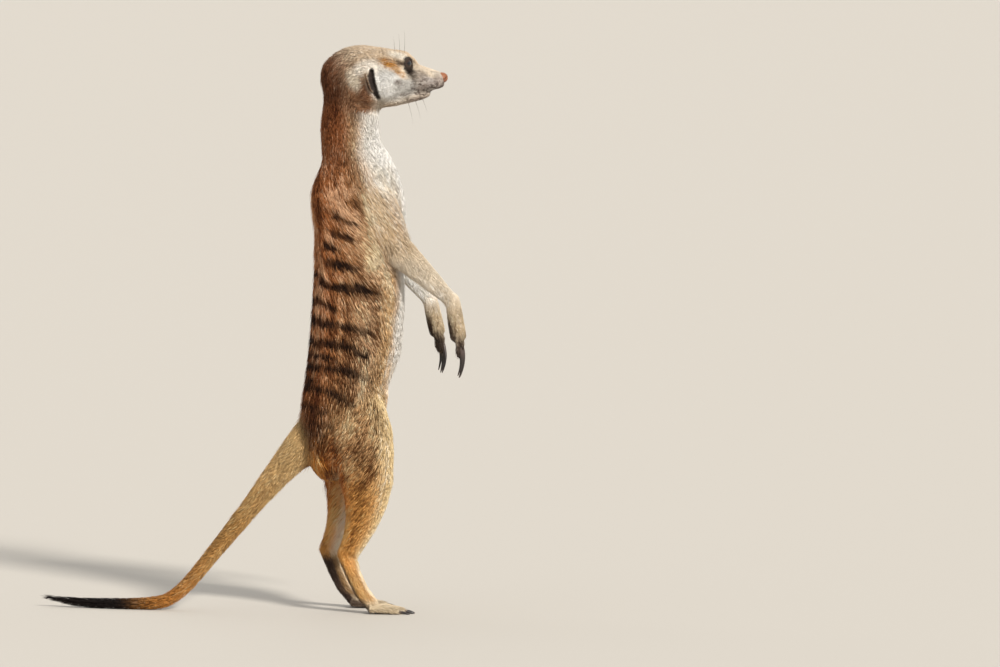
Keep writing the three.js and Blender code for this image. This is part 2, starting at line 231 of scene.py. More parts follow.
TRUNK = (Region.NECK, Region.CHEST, Region.BELLY, Region.RUMP)
TAIL = (Region.TAIL_BASE, Region.TAIL_MIDDLE, Region.TAIL_END)
ARM = (Region.UPPER_ARM, Region.FOREARM, Region.FOREPAW)
LEG = (Region.THIGH, Region.SHANK, Region.HINDFOOT)
SIDED = ("upper_arm", "forearm", "forepaw", "thigh", "shank", "hindfoot")
WHOLE = ("head", "neck", "chest", "belly", "rump", "tail_base", "tail_middle", "tail_end")
HANDS = {"left": 1.0, "right": -1.0}
FLESH: dict[str, Region] = {name: Region[name.upper()] for name in WHOLE}
FLESH["lower_jaw"] = Region.HEAD
for _part in SIDED:
    for _side in HANDS:
        FLESH[f"{_part}_{_side}"] = Region[_part.upper()]


def among(region: np.ndarray, *kinds: Region) -> np.ndarray:
    """Which of the region numbers are of the kinds given."""
    return np.isin(region, [kind.value for kind in kinds])


# ---- making and dressing pieces ----


def put(name: str, data: bpy.types.ID) -> bpy.types.Object:
    """Puts a new object in the scene."""
    made = bpy.data.objects.new(name, data)
    bpy.context.scene.collection.objects.link(made)
    return made


def new_piece(name: str, mesh: bpy.types.Mesh, material: bpy.types.Material) -> bpy.types.Object:
    """Puts a finished mesh in the scene as a piece that rides on the body.

    Args:
        name: The piece's name.
        mesh: Its mesh, in frame metres.
        material: Its material.

    Returns:
        The new object.
    """
    piece = put(name, mesh)
    mesh.materials.clear()
    mesh.materials.append(material)
    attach(piece, "root")
    log.info("%s: %d faces", name, len(mesh.polygons))
    return piece


def read(items: bpy.types.bpy_prop_collection, name: str, width: int, kind: type = float) -> np.ndarray:
    """One property of a mesh's corners, edges or triangles, one per row."""
    flat = np.empty(len(items) * width, dtype=np.int32 if kind is int else np.float32)
    items.foreach_get(name, flat)
    return flat.reshape(-1, width).astype(kind)


def points_of(mesh: bpy.types.Mesh) -> np.ndarray:
    """A mesh's corner places, one per row."""
    return read(mesh.vertices, "co", 3)


def move_points(mesh: bpy.types.Mesh, points: np.ndarray) -> None:
    """Gives a mesh new corner places."""
    mesh.vertices.foreach_set("co", points.ravel())
    mesh.update()


def normals_of(mesh: bpy.types.Mesh) -> np.ndarray:
    """A mesh's corner normals, one per row."""
    return read(mesh.vertex_normals, "vector", 3)


def corners_of(work: bmesh.types.BMesh) -> np.ndarray:
    """A working mesh's corner places, one per row."""
    return np.array([tuple(corner.co) for corner in work.verts])


def place_corners(work: bmesh.types.BMesh, places: np.ndarray) -> None:
    """Gives a working mesh new corner places."""
    for corner, place in zip(work.verts, places):
        corner.co = Vector(place)


def next_ring(work: bmesh.types.BMesh, edges: list[bmesh.types.BMEdge]) -> tuple[list, list]:
    """Extrudes a ring of edges.

    Args:
        work: The working mesh.
        edges: The ring's edges.

    Returns:
        The corners and the edges of the new ring.
    """
    made = bmesh.ops.extrude_edge_only(work, edges=edges)["geom"]
    ring = [part for part in made if isinstance(part, bmesh.types.BMVert)]
    lines = [part for part in made if isinstance(part, bmesh.types.BMEdge)]
    return ring, [line for line in lines if set(line.verts) <= set(ring)]


def searchable(points: np.ndarray, mesh: bpy.types.Mesh) -> BVHTree:
    """A mesh's faces as a searchable surface, with the corner places given."""
    faces = [tuple(face.vertices) for face in mesh.polygons]
    return BVHTree.FromPolygons([tuple(point) for point in points], faces)


def edges_of(mesh: bpy.types.Mesh) -> np.ndarray:
    """A mesh's edges as pairs of corners."""
    return read(mesh.edges, "vertices", 2, int)


def spread(values: np.ndarray, edges: np.ndarray, rounds: int) -> np.ndarray:
    """Evens values out over a mesh, each corner moving half-way to the mean of its neighbours.

    Args:
        values: One row per corner.
        edges: The mesh's edges.
        rounds: How many times.

    Returns:
        The evened values.
    """
    count = len(values)
    first, second = edges[:, 0], edges[:, 1]
    degree = np.bincount(first, minlength=count) + np.bincount(second, minlength=count)
    degree = np.maximum(degree, 1)
    result = np.array(values, dtype=float)
    for _ in range(rounds):
        for column in result.T if result.ndim > 1 else [result]:
            total = np.bincount(first, column[second], count)
            total += np.bincount(second, column[first], count)
            column += 0.5 * (total / degree - column)
    return result


def drawn_out(
    values: np.ndarray, edges: np.ndarray, points: np.ndarray, flow: np.ndarray, rounds: int
) -> np.ndarray:
    """Smears values along a flow, so that noise turns into streaks that run with it.

    Args:
        values: One number per corner.
        edges: The mesh's edges.
        points: The mesh's corners.
        flow: The flow's direction at each corner.
        rounds: How many times.

    Returns:
        The smeared values, brought back to a spread of one.
    """
    first, second = edges[:, 0], edges[:, 1]
    run = unit(points[second] - points[first])
    pull = np.abs(np.sum(run * flow[first], axis=1)) ** 8 + 1e-4
    total = np.bincount(first, pull, len(values)) + np.bincount(second, pull, len(values))
    for _ in range(rounds):
        moved = np.bincount(first, pull * values[second], len(values))
        moved += np.bincount(second, pull * values[first], len(values))
        values = 0.4 * values + 0.6 * moved / total
    return values / values.std()


def settled(obj: bpy.types.Object) -> bpy.types.Mesh:
    """The mesh an object shows with its modifiers applied; the object is removed.

    Args:
        obj: The object.

    Returns:
        The mesh.
    """
    graph = bpy.context.evaluated_depsgraph_get()
    mesh = bpy.data.meshes.new_from_object(obj.evaluated_get(graph))
    bpy.data.objects.remove(obj)
    return mesh


def finished(work: bmesh.types.BMesh, name: str) -> bpy.types.Mesh:
    """A working mesh as a smooth-shaded finished one; the working mesh is freed.

    Args:
        work: The working mesh.
        name: The finished mesh's name.

    Returns:
        The finished mesh.
    """
    mesh = bpy.data.meshes.new(name)
    work.to_mesh(mesh)
    work.free()
    mesh.shade_smooth()
    return mesh


def tinted(mesh: bpy.types.Mesh, colours: np.ndarray) -> None:
    """Gives a mesh's corners their linear colours."""
    tint = mesh.color_attributes.new("tint", "FLOAT_COLOR", "POINT")
    whole = np.column_stack([colours, np.ones(len(colours))])
    tint.data.foreach_set("color", whole.ravel().astype(np.float32))


def swell(work: bmesh.types.BMesh, depth: float) -> None:
    """Grows a working mesh outwards by a depth in millimetres."""
    work.normal_update()
    for corner in work.verts:
        corner.co += corner.normal * depth * MM


def along_claw(points: np.ndarray) -> tuple[np.ndarray, np.ndarray]:
    """Finds a claw's thick end.

    Args:
        points: The claw's corners, in millimetres.

    Returns:
        How far from the root towards the tip each corner lies, from 0 to 1, and which ones form the root.
    """
    away = points - points.mean(axis=0)
    reach = away @ np.linalg.svd(away, full_matrices=False)[2][0]
    ends = [reach < reach.min() + 2.0, reach > reach.max() - 2.0]
    sizes = [np.ptp(points[end], axis=0).sum() for end in ends]
    share = (reach - reach.min()) / np.ptp(reach)
    return (share, ends[0]) if sizes[0] > sizes[1] else (1.0 - share, ends[1])


def add_ball(work: bmesh.types.BMesh, centre: np.ndarray, radii: tuple[float, ...], stance: Stance) -> None:
    """Adds an egg-shaped ball of flesh.

    Args:
        work: The working mesh, in frame metres.
        centre: The ball's centre, in body millimetres.
        radii: Its three radii.
        stance: The body's place in the frame.
    """
    place = Matrix.Translation(Vector(stance.to_frame(centre)))
    size = Matrix.Diagonal((*(r * MM for r in radii), 1.0))
    bmesh.ops.create_uvsphere(work, u_segments=20, v_segments=12, radius=1.0, matrix=place @ size)


# ---- the skin ----


@dataclass
class Eye:
    """One eye: its ball and the way it looks, in body millimetres."""

    hand: float
    side: float = 10.4
    forward: float = 27.8
    up: float = 298.9
    radius: float = 4.7
    turn: float = math.radians(38)  # from straight ahead towards the side
    rise: float = math.radians(4)
    opening: float = math.radians(33)  # half the lids' opening, seen from the ball's centre
    lid: float = 0.55
    rim: float = 0.4  # the least thickness of a lid over the ball
    socket: float = 1.3  # how far inside the ball the skin is drawn between the lids

    @property
    def centre(self) -> np.ndarray:
        """The ball's centre."""
        return at(self.hand * self.side, self.forward, self.up)

    @property
    def axes(self) -> np.ndarray:
        """Rows: towards the temple, up, and out along the gaze."""
        gaze = at(
            self.hand * math.sin(self.turn) * math.cos(self.rise),
            math.cos(self.turn) * math.cos(self.rise),
            math.sin(self.rise),
        )
        temple = unit(np.cross(at(0, 0, self.hand), gaze))
        return np.array([temple, np.cross(gaze, temple) * self.hand, gaze])

    def seen(self, points: np.ndarray) -> tuple[np.ndarray, np.ndarray, np.ndarray]:
        """Places as they lie round the ball.

        Args:
            points: Places in body millimetres.

        Returns:
            Their places on the eye's axes, their distances, and their angles off the gaze.
        """
        local = (points - self.centre) @ self.axes.T
        reach = np.linalg.norm(local, axis=1)
        return local, reach, np.arccos(np.clip(local[:, 2] / np.maximum(reach, 1e-6), -1, 1))

    def shape_lids(self, points: np.ndarray) -> np.ndarray:
        """Lays the skin over the ball as two lids and draws it inside the ball between them.

        Args:
            points: The skin's corners.

        Returns:
            The moved corners.
        """
        local, reach, theta = self.seen(points)
        phi = np.arctan2(local[:, 1], local[:, 0])
        edge = self.opening * (0.92 + 0.10 * np.cos(2 * phi) + 0.06 * np.cos(phi + 0.5) ** 4)
        near = (reach < self.radius + 5.0) & (local[:, 2] > 0)
        past = theta - edge
        lid_reach = self.radius + self.lid * (1.0 + 0.5 * smooth_step(0.0, 0.25, past))
        inside = self.radius - self.socket
        drawn_in = inside + (lid_reach - inside) * smooth_step(-0.1, 0.0, past)
        target = np.where(past < 0, drawn_in, lid_reach)
        hold = np.where(near, smooth_step(math.radians(34), math.radians(12), past), 0.0)
        wanted = reach + hold * (target - reach)
        wanted = np.where(past > 0, np.maximum(wanted, self.radius + self.rim), wanted)
        moved = local * (wanted / np.maximum(reach, 1e-6))[:, None]
        return self.centre + moved @ self.axes


@dataclass
class Ear:
    """One small crescent ear, low on the side of the head, open to the front."""

    hand: float
    top: tuple[float, float] = (7.6, 297.0)  # forward and up
    bottom: tuple[float, float] = (11.6, 279.6)
    bow: float = 2.6
    stand: float = 5.0
    curl: float = 3.0
    wall: float = 1.2
    depth: float = 1.9  # of the opening

    def flap(self, skin: BVHTree, stance: Stance) -> bmesh.types.BMesh:
        """The ear's flap, rooted in the side of the head.

        Args:
            skin: The head's surface, in frame metres.
            stance: The body's place in the frame.

        Returns:
            A closed shell.
        """
        work = bmesh.new()
        bmesh.ops.create_grid(work, x_segments=28, y_segments=10, size=0.5)
        for corner in work.verts:
            along, across = corner.co.x + 0.5, corner.co.y + 0.5
            corner.co = Vector(stance.to_frame(self.place(along, across, skin, stance)))
        bmesh.ops.recalc_face_normals(work, faces=work.faces)
        bmesh.ops.solidify(work, geom=list(work.faces), thickness=self.wall * MM)
        bmesh.ops.recalc_face_normals(work, faces=work.faces)
        return work

    def course(self, points: np.ndarray, lead: float) -> tuple[np.ndarray, np.ndarray]:
        """The ear's line down the side of the head, beside each place.

        Args:
            points: Places in body millimetres.
            lead: How far in front of the ear's root the line runs.

        Returns:
            How far down the ear each place lies, from 0 to 1, and how far forward the line is there.
        """
        share = (self.top[1] - points[:, 2]) / (self.top[1] - self.bottom[1])
        return share, self.top[0] + lead + share * (self.bottom[0] - self.top[0])

    def hollow(self, points: np.ndarray) -> np.ndarray:
        """How deep in the ear's opening each place lies, from 0 to 1.

        Args:
            points: Places on the skin.

        Returns:
            One value per place.
        """
        share, line = self.course(points, 3.4)
        line = line - 1.6 * np.sin(np.pi * np.clip(share, 0, 1))
        ends = smooth_step(-0.04, 0.08, share) * smooth_step(1.06, 0.92, share)
        half = 0.5 + 1.5 * np.sqrt(np.sin(np.pi * np.clip(share, 0.01, 0.99)))
        across = smooth_step(half + 0.5, half - 0.6, np.abs(-points[:, 1] - line + 0.1))
        return ends * across * (points[:, 0] * self.hand > 8)

    def beside(self, points: np.ndarray) -> np.ndarray:
        """How near the ear's opening each place lies, from 0 to 1.

        Args:
            points: Places on the skin.

        Returns:
            One value per place.
        """
        share, line = self.course(points, 3.8)
        ends = smooth_step(-0.25, -0.05, share) * smooth_step(1.25, 1.05, share)
        close = smooth_step(6.5, 3.0, np.abs(-points[:, 1] - line))
        return ends * close * (points[:, 0] * self.hand > 8)

    def carve(self, points: np.ndarray) -> np.ndarray:
        """Presses the ear's opening into the side of the head."""
        return points - at(self.hand, 0, 0) * (self.depth * self.hollow(points))[:, None]

    def place(self, along: float, across: float, skin: BVHTree, stance: Stance) -> np.ndarray:
        """A point of the flap.

        Args:
            along: From 0 at the top to 1 at the bottom.
            across: From 0 at the root to 1 at the rim.
            skin: The head's surface, in frame metres.
            stance: The body's place in the frame.

        Returns:
            The point, in body millimetres.
        """
        bulge = math.sin(math.pi * (0.1 + 0.8 * along))
        forward = self.top[0] + along * (self.bottom[0] - self.top[0]) - self.bow * bulge
        up = self.top[1] + along * (self.bottom[1] - self.top[1])
        root, _, _, _ = skin.find_nearest(Vector(stance.to_frame(at(self.hand * 26, forward, up))))
        root = stance.to_body(np.array(root))
        turn = across * 2.0
        out = self.stand * bulge * math.sin(turn * 0.75) - 0.8
        ahead = self.curl * bulge * (1 - math.cos(turn)) * 0.6 + 0.4 * along
        return root + at(self.hand * out, ahead, 0.0)


@dataclass
class Mouth:
    """The closed mouth: its line's points, forward and up, and how deep and wide it is pressed in."""

    forward: tuple[float, ...] = (26, 31, 37, 43, 48)
    up: tuple[float, ...] = (281.6, 282.6, 283.2, 283.4, 284.2)
    depth: float = 0.4
    width: float = 0.4

    def above(self, points: np.ndarray) -> np.ndarray:
        """How far above the line between the lips each place lies."""
        forward, up = forward_up(points)
        return up - np.interp(forward, self.forward, self.up)

    def carve(self, points: np.ndarray, normals: np.ndarray) -> np.ndarray:
        """Presses the line between the lips into the skin.

        Args:
            points: The skin's corners.
            normals: Its directions there.

        Returns:
            The moved corners.
        """
        near = np.exp(-((self.above(points) / self.width) ** 2))
        near *= smooth_step(self.forward[0] - 1.0, self.forward[0] + 3.0, -points[:, 1])
        return points - normals * (self.depth * near)[:, None]


@dataclass
class Skin:
    """The one skin that stands for every piece of flesh.

    Attributes:
        stance: The body's place in the frame.
        voxel: The size of the cells it is cast in, in millimetres.
        swell: How far each solid grows before they are joined, to close the gaps between them.
        most_faces: The face count it is thinned to.
        kept: How much of the swelling stays when the skin is sunk by the coat's depth.
        sole: The skin's least height over the floor.
        lid_reaches: How near the eyes' centres the faces are divided, once for each.
        muzzle: Fillings of the nose's socket and the muzzle: side, forward, up and radii.
    """

    stance: Stance
    voxel: float = 0.56
    swell: float = 0.55
    most_faces: int = 180_000
    kept: float = 0.15
    sole: float = 0.25
    lid_reaches: tuple[float, ...] = (8.5, 7.0)
    muzzle: tuple[tuple[float, ...], ...] = (
        (0, 47.6, 291.0, 4.4, 4.0, 4.4),
        (4.2, 43.5, 288.0, 4.4, 6.0, 4.0),
        (-4.2, 43.5, 288.0, 4.4, 6.0, 4.0),
    )
    eyes: list[Eye] = field(default_factory=lambda: [Eye(hand) for hand in HANDS.values()])
    ears: list[Ear] = field(default_factory=lambda: [Ear(hand) for hand in HANDS.values()])
    mouth: Mouth = field(default_factory=Mouth)

    def solids(self) -> tuple[BVHTree, list[str]]:
        """The flesh solids as one searchable surface, with the name of each face's solid.

        Returns:
            The surface, in frame metres, and the names.
        """
        work = bmesh.new()
        names: list[str] = []
        for name in FLESH:
            work.from_mesh(bpy.data.objects[name].data)
            names += [name] * (len(work.faces) - len(names))
        tree = BVHTree.FromBMesh(work)
        work.free()
        return tree, names

    def cast(self) -> bpy.types.Mesh:
        """Joins the swollen solids and the fillings of their sockets into one closed mesh.

        Returns:
            The cast mesh.
        """
        work = bmesh.new()
        for name in FLESH:
            work.from_mesh(bpy.data.objects[name].data)
        bmesh.ops.remove_doubles(work, verts=work.verts, dist=1e-7)
        swell(work, self.swell)
        for eye in self.eyes:
            add_ball(work, eye.centre, (eye.radius + 1.0,) * 3, self.stance)
        for place in self.muzzle:
            add_ball(work, at(*place[:3]), place[3:], self.stance)
        for name, obj in bpy.data.objects.items():
            if name.startswith("claw_"):
                self.fill_socket(work, obj)
        head = BVHTree.FromBMesh(work)
        for ear in self.ears:
            flap = ear.flap(head, self.stance)
            part = bpy.data.meshes.new("flap")
            flap.to_mesh(part)
            flap.free()
            work.from_mesh(part)
            bpy.data.meshes.remove(part)
        body = put("work", finished(work, "work"))
        remesh = body.modifiers.new("cast", "REMESH")
        remesh.mode = "VOXEL"
        remesh.voxel_size = self.voxel * MM
        return settled(body)

    def fill_socket(self, work: bmesh.types.BMesh, claw: bpy.types.Object) -> None:
        """Fills the hollow a claw is set in, so that the skin closes round the claw."""
        points = self.stance.to_body(points_of(claw.data))
        add_ball(work, points[along_claw(points)[1]].mean(axis=0), (1.5, 1.5, 1.5), self.stance)

    def regions_at(self, places: np.ndarray) -> np.ndarray:
        """The region number of each place, from the nearest solid or ear.

        Args:
            places: Places in frame metres.

        Returns:
            One region number per place.
        """
        tree, names = self.solids()
        numbers = np.array([FLESH[name].value for name in names])
        nearest = np.array([tree.find_nearest(Vector(place))[2] for place in places])
        found = numbers[nearest]
        body = self.stance.to_body(places)
        for ear in self.ears:
            low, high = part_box("ear_left" if ear.hand > 0 else "ear_right")
            low, high = self.stance.to_body(np.array(low)), self.stance.to_body(np.array(high))
            inside = ((body > low - 1.0) & (body < high + 1.0)).all(axis=1)
            away = outside_by(tree, places[inside]) / MM
            found[np.flatnonzero(inside)[away > 0.3]] = Region.EAR.value
        return found

    def build(self) -> bpy.types.Mesh:
        """Casts, rounds, insets and details the skin.

        Returns:
            The finished mesh in frame metres.
        """
        mesh = self.cast()
        region = self.regions_at(points_of(mesh))
        log.info("cast %d corners", len(region))
        mesh = self.rounded(mesh, region)
        log.info("rounded")
        points = self.stance.to_body(points_of(mesh))
        depth = pelt_values(region, "depth") * face_thinness(points, region)
        depth = spread(depth, edges_of(mesh), 40)
        points -= normals_of(mesh) * (depth + self.swell - self.kept)[:, None]
        points[:, 2] = np.maximum(points[:, 2], self.sole)
        move_points(mesh, self.stance.to_frame(points))
        for reach in self.lid_reaches:
            self.refine(mesh, reach)
        points = self.mouth.carve(self.stance.to_body(points_of(mesh)), normals_of(mesh))
        head = self.regions_at(points_of(mesh)) == Region.HEAD.value
        for ear in self.ears:
            points[head] = ear.carve(points[head])
        for eye in self.eyes:
            points = eye.shape_lids(points)
        move_points(mesh, self.stance.to_frame(points))
        return self.thin(mesh)

    def rounded(self, mesh: bpy.types.Mesh, region: np.ndarray) -> bpy.types.Mesh:
        """Smooths the solids' facets away, each region as far as its pelt says.

        Args:
            mesh: The cast skin, which is used up.
            region: Its corners' region numbers.

        Returns:
            The rounded mesh.
        """
        forward, up = forward_up(self.stance.to_body(points_of(mesh)))
        rounding = pelt_values(region, "rounding")
        skull = region == Region.HEAD.value
        rounding[skull] *= np.interp(forward[skull], [-4, 16, 40], [1.9, 1.1, 0.75])
        throat = smooth_step(262, 268, up) * smooth_step(285, 278, up) * smooth_step(19, 12, forward)
        chin = smooth_step(278, 281, up) * smooth_step(287, 285, up) * smooth_step(24, 30, forward)
        wrist = smooth_step(150, 162, up) * smooth_step(186, 178, up) * among(region, *ARM[1:])
        rounding = np.max([rounding, 5.4 * throat, 2.1 * chin, 2.7 * wrist], axis=0)
        rounding = spread(rounding, edges_of(mesh), 10)
        most = rounding.max()
        levels = 16
        share = np.round(levels * (rounding / most) ** 2).astype(int)
        body = put("work", mesh)
        group = body.vertex_groups.new(name="rounding")
        for level in range(1, levels + 1):
            group.add(np.flatnonzero(share == level).tolist(), level / levels, "REPLACE")
        smooth = body.modifiers.new("round", "SMOOTH")
        smooth.factor = 0.5
        smooth.iterations = int(4.0 * (most / self.voxel) ** 2)
        smooth.vertex_group = group.name
        return settled(body)

    def refine(self, mesh: bpy.types.Mesh, reach: float) -> None:
        """Divides the faces round the eyes, so that the lids come out crisp.

        Args:
            mesh: The skin, which is changed.
            reach: How near an eye's centre a divided face lies.
        """
        points = self.stance.to_body(points_of(mesh))
        away = np.min([np.linalg.norm(points - eye.centre, axis=1) for eye in self.eyes], axis=0)
        edges = edges_of(mesh)
        close = np.flatnonzero((away[edges] < reach).all(axis=1))
        work = bmesh.new()
        work.from_mesh(mesh)
        work.edges.ensure_lookup_table()
        chosen = [work.edges[i] for i in close]
        bmesh.ops.subdivide_edges(work, edges=chosen, cuts=1, use_grid_fill=True)
        work.to_mesh(mesh)
        work.free()

    def thin(self, mesh: bpy.types.Mesh) -> bpy.types.Mesh:
        """Thins the faces of trunk and limbs, which the coat hides, and spares face and paws.

        Args:
            mesh: The detailed skin, which is used up.

        Returns:
            The thinned mesh.
        """
        points = self.stance.to_body(points_of(mesh))
        spared = (points[:, 1] < -6) & (points[:, 2] > 273)
        for part in ("forepaw", "hindfoot", "ear"):
            for side in HANDS:
                low, high = (self.stance.to_body(np.array(c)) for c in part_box(f"{part}_{side}"))
                spared |= ((points > low - 1) & (points < high + 1)).all(axis=1)
        body = put("work", mesh)
        group = body.vertex_groups.new(name="thinned")
        group.add(np.flatnonzero(~spared).tolist(), 1.0, "REPLACE")
        group.add(np.flatnonzero(spared).tolist(), 0.05, "REPLACE")
        triangles = sum(len(face.vertices) - 2 for face in mesh.polygons)
        cut = body.modifiers.new("thin", "DECIMATE")
        cut.ratio = min(1.0, self.most_faces / triangles)
        cut.vertex_group = group.name
        cut.use_collapse_triangulate = True
        return settled(body)


def outside_by(tree: BVHTree, places: np.ndarray) -> np.ndarray:
    """How far each place lies outside a surface.

    Args:
        tree: The surface.
        places: The places, in its own units.

    Returns:
        One distance per place, less than zero inside the surface.
    """
    result = []
    for place in places:
        spot, facing, _, far = tree.find_nearest(Vector(place))
        result.append(far if facing.dot(Vector(place) - spot) > 0 else -far)
    return np.array(result)


def pelt_values(region: np.ndarray, name: str) -> np.ndarray:
    """One of the pelts' values for each region number given."""
    table = np.array([getattr(PELTS[r], name) for r in Region])
    return table[region]


def face_thinness(points: np.ndarray, region: np.ndarray) -> np.ndarray:
    """How much thinner and shorter the coat is on the face: 1 away from it, less towards the nose."""
    forward = -points[:, 1]
    face = np.interp(forward, [-14, 2, 18, 30, 38, 50], [1.9, 1.5, 1.15, 0.8, 0.55, 0.38])
    return np.where(region == Region.HEAD.value, face, 1.0)


# ---- markings ----


def plain(hex_colour: str, count: int) -> np.ndarray:
    """One linear colour, once for each of so many rows."""
    return np.tile(linear(hex_colour), (count, 1))


def layered(colours: np.ndarray, *layers: tuple[str, np.ndarray]) -> np.ndarray:
    """Colours painted over, layer by layer.

    Args:
        colours: The ground, as linear colours.
        *layers: For each layer its sRGB colour and how fully it covers each row, from 0 to 1.

    Returns:
        The new colours.
    """
    for hex_colour, cover in layers:
        colours = colours + (linear(hex_colour) - colours) * np.clip(cover, 0.0, 1.0)[:, None]
    return colours


@dataclass(frozen=True)
class Patch:
    """A soft-edged oval of colour on both sides of the body.

    Attributes:
        colour: Its sRGB colour.
        forward: Its middle, forward of the heel line.
        up: Its middle, above the floor.
        reach: Half its length.
        height: Half its height.
        tilt: How far its front end is turned up, in degrees.
        soft: How much of its size the edge takes.
        strength: How fully it covers.
        inner: It stays at least this far from the midline.
        broken: How far fine streaks break it up.
    """

    colour: str
    forward: float
    up: float
    reach: float
    height: float
    tilt: float = 0.0
    soft: float = 0.35
    strength: float = 1.0
    inner: float = 0.0
    broken: float = 0.0

    def cover(self, points: np.ndarray) -> np.ndarray:
        """How fully it covers each place, from 0 to 1.

        Args:
            points: Places on the skin.

        Returns:
            One value per place.
        """
        turn = math.radians(self.tilt)
        ahead, above = -points[:, 1] - self.forward, points[:, 2] - self.up
        along = ahead * math.cos(turn) + above * math.sin(turn)
        across = above * math.cos(turn) - ahead * math.sin(turn)
        away = np.hypot(along / self.reach, across / self.height)
        cover = smooth_step(1 + self.soft, 1 - self.soft, away) * self.strength
        if self.inner > 0:
            cover = cover * smooth_step(self.inner - 1.5, self.inner + 1.5, np.abs(points[:, 0]))
        if self.broken > 0:
            streaks = lattice_noise(points * np.array([1.0, 0.45, 1.0]), 0.9, 41)
            cover = cover * (1.0 - self.broken * smooth_step(-0.15, 0.45, streaks))
        return cover


@dataclass(frozen=True)
class Bar:
    """One dark bar across the back, from its upper end by the spine to its lower end on the flank."""

    start: tuple[float, float]  # forward and up
    end: tuple[float, float]
    thick: float = 1.9
    strength: float = 1.0

    def cover(self, points: np.ndarray) -> np.ndarray:
        """How fully it covers each place, from 0 to 1.

        Args:
            points: Places on the skin.

        Returns:
            One value per place.
        """
        place = np.column_stack([-points[:, 1], points[:, 2]])
        start, run = np.array(self.start), np.array(self.end) - np.array(self.start)
        along = np.clip((place - start) @ run / (run @ run), 0, 1)
        away = np.linalg.norm(place - start - along[:, None] * run, axis=1)
        thick = self.thick * (0.9 - 0.45 * along**3)
        return self.strength * smooth_step(thick + 1.0, thick - 0.7, away)


